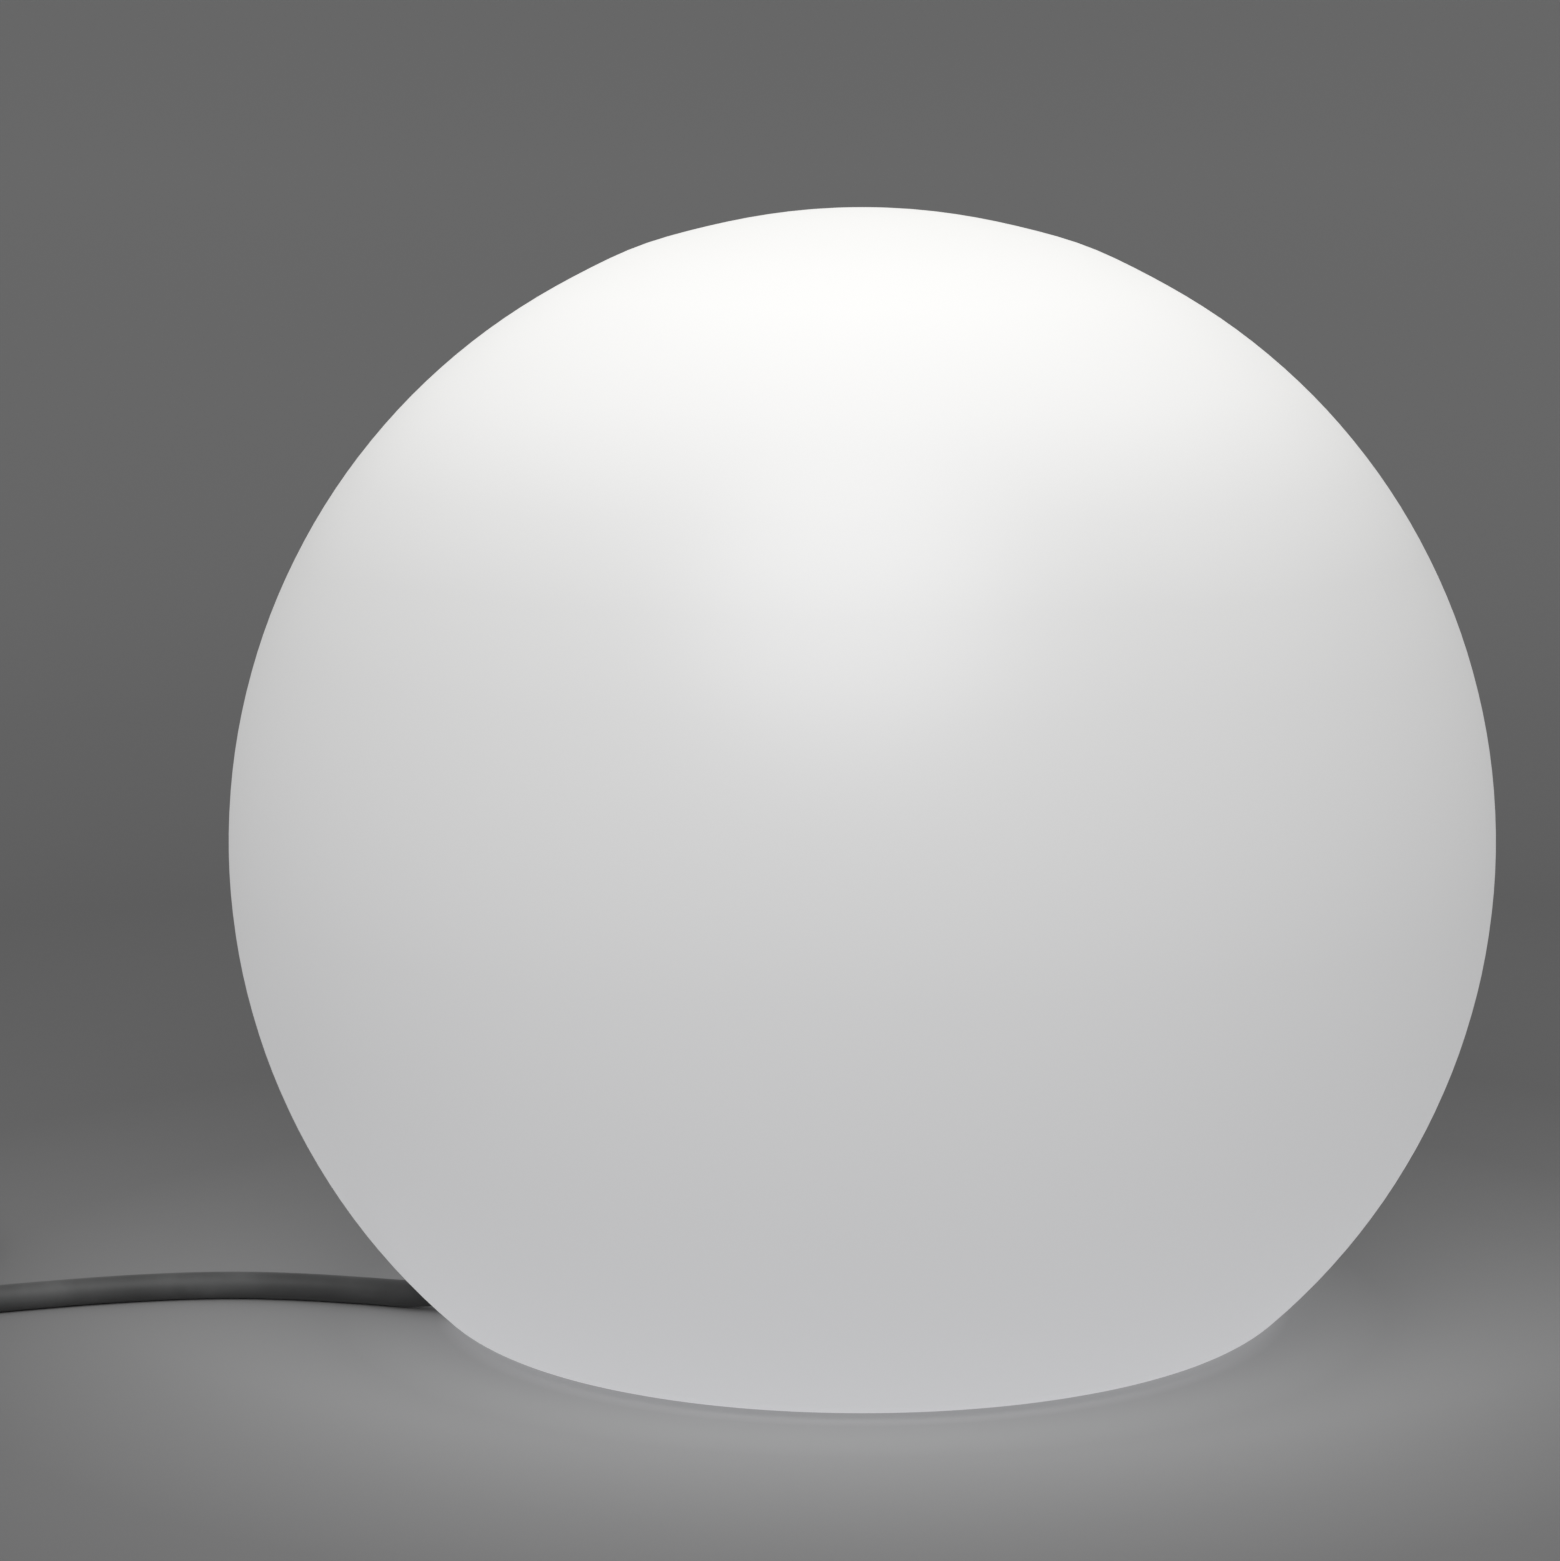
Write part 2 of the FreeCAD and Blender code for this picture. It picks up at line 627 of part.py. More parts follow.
def gland_washer():
    """The sealing washer between the gland and the well's wall."""
    body = rod_x(GLAND_FLAT_R, GLAND_WALL_X - WASHER_L + FIT_GAP, GLAND_WALL_X - FIT_GAP, 0, GLAND_Z)
    return cut(body, rod_x(GLAND_THREAD_R + FIT_GAP, GLAND_WALL_X * 2, 0, 0, GLAND_Z))


def gland_body():
    """The gland: a hexagonal flange with a thread through the wall and a stub for the nut."""
    flange = hexagon_x(GLAND_FLAT_R, GLAND_FLANGE_X, GLAND_WALL_X - WASHER_L, GLAND_Z)
    inside_x = GLAND_WALL_IN_X + GLAND_INSIDE_L
    thread = rod_x(GLAND_THREAD_R, GLAND_FLANGE_X + PAST, inside_x, 0, GLAND_Z)
    stub = rod_x(GLAND_THREAD_R, GLAND_STUB_X, GLAND_FLANGE_X + PAST, 0, GLAND_Z)
    bore = rod_x(CORD_R + FIT_GAP, GLAND_STUB_X - PAST, inside_x + PAST, 0, GLAND_Z)
    seat_r = CORD_R + GLAND_SEAL_WALL + FIT_GAP * 2
    seat = rod_x(seat_r, GLAND_STUB_X - PAST, GLAND_STUB_X + GLAND_SEAL_L, 0, GLAND_Z)
    return cut(add(flange, thread, stub), bore, seat)


def gland_seal():
    """The rubber sleeve that the gland's nut squeezes onto the cord."""
    outer_r = CORD_R + GLAND_SEAL_WALL + FIT_GAP
    inner_x = GLAND_STUB_X + GLAND_SEAL_L - FIT_GAP
    sleeve = rod_x(outer_r, GLAND_STUB_X + FIT_GAP, inner_x, 0, GLAND_Z)
    return cut(sleeve, rod_x(CORD_R + FIT_GAP, GLAND_STUB_X - PAST, 0, 0, GLAND_Z))


def gland_nut():
    """The gland's cap nut, with the bend guard's hole in its end."""
    nut = hexagon_x(GLAND_FLAT_R, NUT_X1, NUT_X0, GLAND_Z)
    thread = rod_x(GLAND_THREAD_R + FIT_GAP, NUT_X1 + GLAND_NUT_END, 0, 0, GLAND_Z)
    hole = rod_x(CORD_R + GUARD_WALL + FIT_GAP, NUT_X1 - PAST, 0, 0, GLAND_Z)
    return cut(nut, thread, hole)


def bend_guard():
    """The tapered rubber sleeve that keeps the cord from kinking at the nut."""
    collar_x = NUT_X1 + GLAND_NUT_END + FIT_GAP
    collar_r = GLAND_THREAD_R - FIT_GAP
    collar_end = min(collar_x + GUARD_COLLAR_L, GLAND_STUB_X - FIT_GAP)
    neck_r = CORD_R + GUARD_WALL
    collar = rod_x(collar_r, collar_x, collar_end, 0, GLAND_Z)
    neck = rod_x(neck_r, NUT_X1, collar_x + FIT_GAP, 0, GLAND_Z)
    tip_r = CORD_R + GUARD_TIP_WALL
    cone = Part.makeCone(neck_r, tip_r, NUT_X1 - GUARD_X, V(NUT_X1, 0, GLAND_Z), V(-1, 0, 0))
    bore = rod_x(CORD_R + FIT_GAP, GUARD_X - PAST, 0, 0, GLAND_Z)
    return cut(add(collar, neck, cone), bore)


def cord_end():
    """The sheathed end of the cord, from the bend guard's tip through the gland to the stripped cores."""
    return rod_x(CORD_R, GUARD_X, CORD_IN_X, 0, GLAND_Z)


# ---------------------------------------------------------------- connection


def pillar_top():
    """The height of the pillars that the clamp's screws go into."""
    return GLAND_Z + CORD_R - BODY_GAP * 2


def clamp_screw_holes():
    """The holes in the pillars."""
    low = WELL_FLOOR_TOP + BLIND
    return [cyl(CLAMP_SCREW_R + FIT_GAP, low, PLATE_TOP, CLAMP_AT, side * CLAMP_SIDE) for side in (-1, 1)]


def clamp_bar():
    """The bar that holds the cord down in the well."""
    bottom = GLAND_Z + CORD_R + FIT_GAP
    half = CLAMP_W / 2
    side = CLAMP_SIDE + PILLAR_R
    bar = box(CLAMP_AT - half, CLAMP_AT + half, -side, side, bottom, bottom + CLAMP_H)
    return cut(bar, *clamp_screw_holes())


def clamp_screws():
    """The two screws of the clamp."""
    top = GLAND_Z + CORD_R + FIT_GAP + CLAMP_H + FIT_GAP
    length = top - pillar_top() + CLAMP_SIDE / 2
    head_r = CLAMP_SCREW_R * 2
    places = [V(CLAMP_AT, side * CLAMP_SIDE, top) for side in (-1, 1)]
    return group([screw_down(CLAMP_SCREW_R, length, head_r, CLAMP_SCREW_R, p) for p in places])


def pole_places():
    """The sideways places of the block's three poles."""
    return (-CORE_SPREAD, 0.0, CORE_SPREAD)


def block_screw_hole():
    """The blind hole in the well's floor under the terminal block."""
    return cyl(BLOCK_SCREW_R + FIT_GAP, WELL_FLOOR_H + BLIND, WELL_FLOOR_TOP, BLOCK_MIDDLE, CORE_SPREAD / 2)


def terminal_block():
    """The three-pole block: through bores for the sleeves, and wells for their screws."""
    z0 = WELL_FLOOR_TOP
    block = box(BLOCK_AT, BLOCK_X1, -BLOCK_W / 2, BLOCK_W / 2, z0, z0 + BLOCK_H)
    tools = []
    for y in pole_places():
        tools.append(rod_x(BLOCK_SLEEVE_R + FIT_GAP, BLOCK_AT - PAST, BLOCK_X1 + PAST, y, CORE_Z))
        for x in terminal_xs():
            tools.append(cyl(BLOCK_WELL_R, CORE_Z, z0 + BLOCK_H + PAST, x, y))
    tools.append(cyl(BLOCK_SCREW_R + FIT_GAP, z0 - PAST, z0 + BLOCK_H + PAST, BLOCK_MIDDLE, CORE_SPREAD / 2))
    return cut(block, *tools)


def terminal_xs():
    """Where the terminal screws stand along each sleeve."""
    return (BLOCK_AT + BLOCK_L / 4, BLOCK_AT + BLOCK_L * 3 / 4)


def terminal_sleeves():
    """The brass sleeves that join the cord's cores to the leads."""
    shapes = []
    for y in pole_places():
        sleeve = rod_x(BLOCK_SLEEVE_R, BLOCK_AT + TERMINAL_SUNK, BLOCK_X1 - TERMINAL_SUNK, y, CORE_Z)
        bore = rod_x(BLOCK_BORE_R, BLOCK_AT, BLOCK_X1, y, CORE_Z)
        holes = [cyl(BLOCK_SCREW_R + FIT_GAP, CORE_Z, CORE_Z + BLOCK_H, x, y) for x in terminal_xs()]
        shapes.append(cut(sleeve, bore, *holes))
    return group(shapes)


def terminal_screws():
    """The screws that press on the cores."""
    shapes = []
    for y in pole_places():
        for x in terminal_xs():
            low = CORE_Z + CORE_R + FIT_GAP
            top = WELL_FLOOR_TOP + BLOCK_H - TERMINAL_SUNK
            body = cyl(BLOCK_SCREW_R, low, top, x, y)
            half = SLIT_W / 2
            slit = box(x - BLOCK_SCREW_R, x + BLOCK_SCREW_R, y - half, y + half, top - SLIT_W, top)
            shapes.append(cut(body, slit))
    return group(shapes)


def block_screw():
    """The screw that holds the block to the well's floor."""
    at = V(BLOCK_MIDDLE, CORE_SPREAD / 2, WELL_FLOOR_TOP + BLOCK_H + FIT_GAP)
    length = BLOCK_H + DISH_WALL - BLIND
    return screw_down(BLOCK_SCREW_R, length, BLOCK_SCREW_R * 1.6, BLOCK_SCREW_R, at)


def core_route(y):
    """The route of one of the cord's cores, from the sheath's end to the block's pole."""
    start_y = y * (CORE_R * 2 + FIT_GAP * 2) / CORE_SPREAD
    third = CORE_RUN / 3
    return [
        V(CORD_IN_X, start_y, GLAND_Z),
        V(CORD_IN_X + third, start_y, GLAND_Z),
        V(BLOCK_AT - third, y, CORE_Z),
        V(BLOCK_MIDDLE - POLE_GAP / 2, y, CORE_Z),
    ]


def wire(y, name):
    """One core between the sheath and the block."""
    return tube(core_route(y), CORE_R, name)


def lead_route(y):
    """The route of a lead from the block's far side, round and up through the nipple to the insert."""
    out_x = BLOCK_X1 + LEAD_OUT
    side = math.copysign(NIPPLE_BORE_R - CORE_R - BODY_GAP, y)
    entry_z = BRACKET_Z - NIPPLE_BELOW - CORE_R * 2
    return [
        V(BLOCK_MIDDLE + POLE_GAP / 2, y, CORE_Z),
        V(out_x, y, CORE_Z),
        V(out_x + LEAD_BEND, y, CORE_Z + LEAD_OUT),
        V(out_x - LEAD_BEND, y / 2, PLATE_TOP + LEAD_BEND / 2),
        V(out_x / 3, side, PLATE_TOP + LEAD_BEND),
        V(0, side, entry_z),
        V(0, side, INSERT_Z + INSERT_H / 3 - FIT_GAP),
    ]


# ---------------------------------------------------------------- lampholder


def bracket_screw_holes():
    """The blind holes in the bosses under the bracket's feet."""
    low = PLATE_Z + BLIND
    return [cyl(BRACKET_SCREW_R + FIT_GAP, low, BRACKET_Z, 0, side * BRACKET_SPAN) for side in (-1, 1)]


def holder_bracket():
    """The bent steel strap that carries the lampholder above the well."""
    half = BRACKET_W / 2
    foot_z = PLATE_TOP + BRACKET_BOSS_H
    knee = BRACKET_SPAN - BRACKET_FOOT / 2
    end = BRACKET_SPAN + BRACKET_FOOT / 2
    shoulder = knee - BRACKET_FOOT
    outline = [
        V(-half, -end, foot_z),
        V(-half, -end, foot_z + BRACKET_T),
        V(-half, -knee - BRACKET_T, foot_z + BRACKET_T),
        V(-half, -shoulder - BRACKET_T, CUP_Z),
        V(-half, shoulder + BRACKET_T, CUP_Z),
        V(-half, knee + BRACKET_T, foot_z + BRACKET_T),
        V(-half, end, foot_z + BRACKET_T),
        V(-half, end, foot_z),
        V(-half, knee, foot_z),
        V(-half, shoulder, BRACKET_Z),
        V(-half, -shoulder, BRACKET_Z),
        V(-half, -knee, foot_z),
        V(-half, -end, foot_z),
    ]
    strap = Part.Face(Part.makePolygon(outline)).extrude(V(BRACKET_W, 0, 0))
    hole = cyl(NIPPLE_R + FIT_GAP, BRACKET_Z - PAST, CUP_Z + PAST)
    return cut(strap, hole, *bracket_screw_holes())


def bracket_screws():
    """The two screws of the bracket."""
    foot_top = PLATE_TOP + BRACKET_BOSS_H + BRACKET_T + FIT_GAP
    length = BRACKET_T + BRACKET_BOSS_H + DISH_WALL - BLIND
    shapes = []
    for side in (-1, 1):
        lift = EARTH_TAG_T if side > 0 else 0
        at = V(0, side * BRACKET_SPAN, foot_top + lift)
        shapes.append(screw_down(BRACKET_SCREW_R, length, BRACKET_SCREW_R * 2, BRACKET_SCREW_R * 1.2, at))
    return group(shapes)


def earth_tag():
    """The ring tag on the bracket's foot, crimped round the earth lead."""
    z0 = PLATE_TOP + BRACKET_BOSS_H + BRACKET_T
    z1 = z0 + EARTH_TAG_T
    eye = cyl(EARTH_TAG_W, z0, z1, 0, BRACKET_SPAN)
    tongue = box(0, EARTH_TAG_L, BRACKET_SPAN - CORE_R, BRACKET_SPAN + CORE_R, z0, z1)
    barrel_r = CORE_R + EARTH_TAG_T
    barrel_x = EARTH_TAG_L - FIT_GAP
    barrel_end = barrel_x + EARTH_TAG_W
    barrel_z = z0 + barrel_r
    barrel = rod_x(barrel_r, barrel_x, barrel_end, BRACKET_SPAN, barrel_z)
    bore = rod_x(CORE_R + FIT_GAP, barrel_x + PAST, barrel_end + PAST, BRACKET_SPAN, barrel_z)
    hole = cyl(BRACKET_SCREW_R + FIT_GAP, z0 - PAST, z1 + PAST, 0, BRACKET_SPAN)
    return cut(add(eye, tongue, barrel), bore, hole)


def lead_earth_route():
    """The route of the earth lead from the block's far side, over the well's rim to the tag."""
    out_x = BLOCK_X1 + LEAD_OUT
    bend_x = out_x + LEAD_BEND
    tag_z = PLATE_TOP + BRACKET_BOSS_H + BRACKET_T + EARTH_TAG_T + CORE_R
    return [
        V(BLOCK_MIDDLE + POLE_GAP / 2, CORE_SPREAD, CORE_Z),
        V(out_x, CORE_SPREAD, CORE_Z),
        V(bend_x, CORE_SPREAD + LEAD_BEND, CORE_Z + LEAD_OUT),
        V(bend_x, CORE_SPREAD + LEAD_BEND * 3, tag_z + CORE_R),
        V(bend_x, BRACKET_SPAN - LEAD_OUT, tag_z + CORE_R),
        V(out_x, BRACKET_SPAN, tag_z),
        V(EARTH_TAG_L + PAST + FIT_GAP, BRACKET_SPAN, tag_z),
    ]


def holder_nipple():
    """The hollow threaded nipple through the bracket and the lampholder's floor."""
    z1 = CUP_Z + CUP_FLOOR + INSERT_ABOVE / 2
    return ring(NIPPLE_BORE_R, NIPPLE_R, BRACKET_Z - NIPPLE_BELOW, z1)


def holder_nut():
    """The nut under the bracket, on the nipple."""
    nut = hexagon_z(NUT_FLAT_R, BRACKET_Z - NUT_H - FIT_GAP, BRACKET_Z - FIT_GAP)
    return cut(nut, cyl(NIPPLE_R + FIT_GAP, 0, CUP_Z))


def holder_cup():
    """The lampholder's outer cup, with a lip over its sealing ring."""
    body = cyl(CUP_R, CUP_Z, CUP_TOP)
    inside_r = CUP_R - CUP_WALL
    space = cyl(inside_r, CUP_Z + CUP_FLOOR, CUP_TOP - CUP_LIP)
    mouth_r = BULB_NECK_R + BODY_GAP * 5
    mouth = cyl(mouth_r, CUP_TOP - CUP_LIP - PAST, CUP_TOP + PAST)
    hole = cyl(NIPPLE_R + FIT_GAP, CUP_Z - PAST, CUP_Z + CUP_FLOOR + PAST)
    shelf_z = SEAL_Z - BODY_GAP
    shelf = ring(mouth_r, inside_r + FIT_GAP, shelf_z - CUP_LIP, shelf_z)
    return add(cut(body, space, mouth, hole), shelf)


def holder_insert():
    """The porcelain insert that carries the contacts, with holes for the two leads."""
    insert = cyl(CUP_R - CUP_WALL - FIT_GAP, INSERT_Z, INSERT_Z + INSERT_H)
    tools = [cyl(NIPPLE_R, INSERT_Z - PAST, INSERT_Z + INSERT_H / 3)]
    for side in (-1, 1):
        z1 = INSERT_Z + INSERT_H + PAST
        tools.append(cyl(BLOCK_WELL_R, INSERT_Z + INSERT_H / 2, z1, 0, side * TERMINAL_SIDE))
    return cut(insert, *tools)


def holder_sleeve():
    """The threaded brass sleeve, drawn with a plain bore, standing on the insert."""
    return ring(SLEEVE_R, SLEEVE_R + SLEEVE_T, CONTACT_Z, CONTACT_Z + SLEEVE_H)


def holder_contact():
    """The bent spring tongue that the bulb's tip presses on."""
    half = CONTACT_W / 2
    top = CONTACT_Z + CONTACT_H
    foot = box(-half, half, -half, half, CONTACT_Z, CONTACT_Z + CONTACT_T)
    post = box(-half, -half + CONTACT_T, -half, half, CONTACT_Z, top)
    tongue = box(-half, half, -half, half, top - CONTACT_T, top)
    return add(foot, post, tongue)


def holder_terminals():
    """The two terminal screws in the insert."""
    shapes = []
    for side in (-1, 1):
        z0 = INSERT_Z + INSERT_H / 2
        body = cyl(BLOCK_SCREW_R, z0, INSERT_Z + INSERT_H - FIT_GAP, 0, side * TERMINAL_SIDE)
        shapes.append(body)
    return group(shapes)


def holder_seal():
    """The rubber ring round the bulb's neck at the lampholder's mouth."""
    inner = BULB_NECK_R + BODY_GAP
    return ring(inner, CUP_R - CUP_WALL - BODY_GAP, SEAL_Z, SEAL_Z + SEAL_H)


# ---------------------------------------------------------------- bulb


def bulb_cap():
    """The bulb's metal screw cap, with rings where its thread runs."""
    root = CAP_R - CAP_THREAD
    inner = root - CAP_WALL
    outline = [(inner, CAP_Z), (root, CAP_Z)]
    crest_z = CAP_Z + CAP_PITCH / 2
    for turn in range(CAP_TURNS):
        z = crest_z + CAP_PITCH * turn
        outline.append((root, z))
        outline.append((CAP_R, z + CAP_PITCH / 2))
    outline.append((root, crest_z + CAP_PITCH * CAP_TURNS))
    outline.append((root, CAP_Z + CAP_H))
    outline.append((inner, CAP_Z + CAP_H))
    return revolved(outline)


def bulb_insulator():
    """The glass bead between the cap and its tip."""
    low = CAP_Z - INSULATOR_H
    high = CAP_Z - FIT_GAP
    root = CAP_R - CAP_THREAD * 2
    return revolved([(0, low), (CAP_TIP_R + CAP_WALL, low), (root, high), (0, high)])


def bulb_tip():
    """The cap's centre contact."""
    z1 = TIP_Z + CAP_TIP_H - FIT_GAP
    return revolved([(0, TIP_Z), (CAP_TIP_R * 0.8, TIP_Z), (CAP_TIP_R, z1), (0, z1)])


def bulb_housing():
    """The bulb's moulded body: a neck pressed over the cap, widening up to the dome."""
    root = CAP_R - CAP_THREAD
    z0 = CAP_Z + CAP_PITCH * (CAP_TURNS + 0.5) + FIT_GAP
    neck_top = z0 + BULB_NECK_H
    top_z = BOARD_Z
    inner = BULB_NECK_R - BULB_WALL
    return revolved([
        (root + FIT_GAP, z0),
        (BULB_NECK_R, z0),
        (BULB_NECK_R, neck_top),
        ((BULB_NECK_R + BULB_DOME_BASE_R) / 2, (neck_top + top_z) / 2 - BULB_NECK_H / 3),
        (BULB_DOME_BASE_R, top_z),
        (BULB_DOME_BASE_R - BULB_WALL, top_z),
        ((inner + BULB_DOME_BASE_R - BULB_WALL) / 2, (neck_top + top_z) / 2 - BULB_NECK_H / 3),
        (inner - BULB_WALL, neck_top),
        (inner - BULB_WALL, CAP_Z + CAP_H + FIT_GAP),
        (root + FIT_GAP, CAP_Z + CAP_H + FIT_GAP),
    ])


def dome_shape(offset):
    """The inside of the bulb's dome, moved in by an offset: a sphere cut off above the housing."""
    drop = math.sqrt(BULB_R ** 2 - BULB_DOME_BASE_R ** 2)
    centre = V(0, 0, BOARD_Z + BOARD_T + FIT_GAP * 2 + drop)
    ball = Part.makeSphere(BULB_R - offset, centre)
    half = box(-BULB_R, BULB_R, -BULB_R, BULB_R, centre.z - drop, centre.z + BULB_R)
    return ball.common(half)


def bulb_dome():
    """The bulb's opal dome."""
    return cut(dome_shape(0), dome_shape(BULB_WALL))


def bulb_board():
    """The aluminium board on the housing that carries the LEDs."""
    return cyl(BULB_DOME_BASE_R - FIT_GAP, BOARD_Z + FIT_GAP, BOARD_Z + FIT_GAP + BOARD_T)


def bulb_leds():
    """The LEDs in a ring on the board."""
    z0 = BOARD_Z + FIT_GAP + BOARD_T
    half = LED_SIDE / 2
    led = box(LED_RING_R - half, LED_RING_R + half, -half, half, z0, z0 + LED_T)
    return group([turned(led, 360 / LED_COUNT * i) for i in range(LED_COUNT)])


def bulb_driver():
    """The upright driver board in the housing, with its capacitor and choke."""
    z1 = BOARD_Z - FIT_GAP
    half = DRIVER_T / 2
    board = box(-DRIVER_W / 2, DRIVER_W / 2, -half, half, z1 - DRIVER_H, z1)
    capacitor = Part.makeCylinder(CAPACITOR_R, CAPACITOR_L, V(0, half, z1 - CAPACITOR_R * 2), V(0, 1, 0))
    choke = box(-CHOKE_W / 2, CHOKE_W / 2, -half - CHOKE_T, -half, z1 - CHOKE_W * 2, z1 - CHOKE_W)
    return add(board, capacitor, choke)


# ---------------------------------------------------------------- coil and plug


def coil_pitch():
    """From one turn to the next, sideways and from layer to layer."""
    return CORD_R * 2 + COIL_GAP


def coil_centre():
    """The coil's axis, at the height of its first layer's centreline."""
    entry = CORD_ROUTE[-1] - V(CORD_R * 2, 0, 0)
    return entry + V(0, COIL_R, 0)


def coil_turns():
    """How many turns the coil has in all."""
    return LAYER_TURNS * (LAYERS - 1) + LAST_TURNS


def coil_level(turn):
    """The layer after this many turns: a smooth climb over the half turn round each reversal."""
    reversal = round(turn / LAYER_TURNS)
    if not 0 < reversal < LAYERS:
        return min(reversal, LAYERS - 1)
    share = min(max((turn - reversal * LAYER_TURNS) * 2 + 0.5, 0.0), 1.0)
    return reversal - 1 + share * share * (3 - 2 * share)


def coil_point(turn):
    """The centreline after this many turns: in and out at a steady rate, up a layer at each reversal."""
    layer = min(int(turn / LAYER_TURNS), LAYERS - 1)
    within = turn - layer * LAYER_TURNS
    depth = within if layer % 2 == 0 else LAYER_TURNS - within
    radius = COIL_R - coil_pitch() * depth
    angle = math.radians(270) - math.tau * turn
    along = V(radius * math.cos(angle), radius * math.sin(angle), coil_pitch() * coil_level(turn))
    return coil_centre() + along


def coil_way(turn):
    """The direction of the centreline after this many turns."""
    step = 0.01
    if turn < step:
        return V(-1, 0, 0)
    if turn > coil_turns() - step:
        angle = math.radians(180) - math.tau * turn
        return V(math.cos(angle), math.sin(angle), 0).normalize()
    return (coil_point(turn + step) - coil_point(turn - step)).normalize()


def arc_between(start, corner, end):
    """The arc that is tangent to the two equal lines from its corner."""
    middle = (start + end) * 0.5
    half = (end - start).Length / 2
    height = (corner - middle).Length
    leg = (corner - start).Length
    radius = leg * half / height
    rise = radius - math.sqrt(max(radius * radius - half * half, 0))
    return Part.Arc(start, middle + (corner - middle).normalize() * rise, end).toShape()


def biarc(p0, t0, p1, t1):
    """Two arcs that join two points with the given directions."""
    chord = p1 - p0
    both = t0 + t1
    a = 2 * (1 - t0.dot(t1))
    b = chord.dot(both)
    reach = (math.sqrt(b * b + a * chord.dot(chord)) - b) / a
    corner0 = p0 + t0 * reach
    corner1 = p1 - t1 * reach
    join = (corner0 + corner1) * 0.5
    return [arc_between(p0, corner0, join), arc_between(join, corner1, p1)]


def coil_ends():
    """Where the coil's tube starts and ends, a diameter before and after its turns."""
    start = CORD_ROUTE[-1]
    last = coil_turns()
    end = coil_point(last) + coil_way(last) * CORD_R * 2
    return start, end


def cord_coil():
    """The put-away cord: one unbroken tube in piled turns."""
    start, end = coil_ends()
    quarters = int(round(coil_turns() * 4))
    edges = [Part.LineSegment(start, coil_point(0)).toShape()]
    for i in range(quarters):
        a = i / 4
        b = (i + 1) / 4
        edges.extend(biarc(coil_point(a), coil_way(a), coil_point(b), coil_way(b)))
    edges.append(Part.LineSegment(coil_point(quarters / 4), end).toShape())
    path = Part.Wire(edges)
    circle = Part.Wire(Part.Circle(start, V(-1, 0, 0), CORD_R).toShape())
    solid = path.makePipeShell([circle], True, False)
    wanted = math.pi * CORD_R ** 2 * path.Length
    print(f"cord_coil: length {path.Length:.1f}, volume {solid.Volume / wanted:.4f} of section times length, "
          f"least gap {coil_gap(edges):.2f}")
    return solid


def coil_gap(edges):
    """The least distance between the surfaces of two stretches of the coil, measured on points."""
    points = []
    for edge in edges:
        count = max(2, int(edge.Length / 3.0))
        points.extend(edge.discretize(Number=count)[:-1])
    along = [0.0]
    for before, after in zip(points, points[1:]):
        along.append(along[-1] + (after - before).Length)
    least = GLOBE_R
    apart = COIL_R
    for i, point in enumerate(points):
        for j in range(i + 1, len(points)):
            if along[j] - along[i] > apart:
                least = min(least, (points[j] - point).Length)
    return least - CORD_R * 2


def cord_ties():
    """Two straps round the coil's turns."""
    middle = coil_centre()
    inner_r = COIL_R - coil_pitch() * LAYER_TURNS - CORD_R - TIE_GAP
    outer_r = COIL_R + CORD_R + TIE_GAP
    top = middle.z + coil_pitch() * (LAYERS - 1) + CORD_R + TIE_GAP
    half = TIE_W / 2
    shapes = []
    for angle in TIE_ANGLES:
        outside = box(inner_r - TIE_T, outer_r + TIE_T, -half, half, 0, top + TIE_T)
        inside = box(inner_r, outer_r, -half - PAST, half + PAST, TIE_T, top)
        strap = turned(cut(outside, inside), angle)
        strap.translate(V(middle.x, middle.y, 0))
        shapes.append(strap)
    return group(shapes)


TAIL_START = coil_ends()[1]
TAIL_DROP = TAIL_START.z - PLUG_R
PLUG_ENTRY = V(TAIL_START.x - PLUG_ASIDE, TAIL_START.y - PLUG_DROP - CORD_R * 5, PLUG_R)
TAIL_ROUTE = [
    TAIL_START,
    TAIL_START + V(0, -23.0, 0),
    TAIL_START + V(-0.6, -47.0, -TAIL_DROP * 0.21),
    TAIL_START + V(-1.4, -70.0, -TAIL_DROP * 0.7),
    V(PLUG_ENTRY.x, PLUG_ENTRY.y + 22.0, PLUG_R),
    PLUG_ENTRY,
]


def rod_plug(radius, y0, y1, x=0.0, z=0.0):
    """A cylinder along the plug, y0 to y1 measured from its entry towards the pins."""
    return Part.makeCylinder(radius, y1 - y0, PLUG_ENTRY + V(x, -y0, z), V(0, -1, 0))


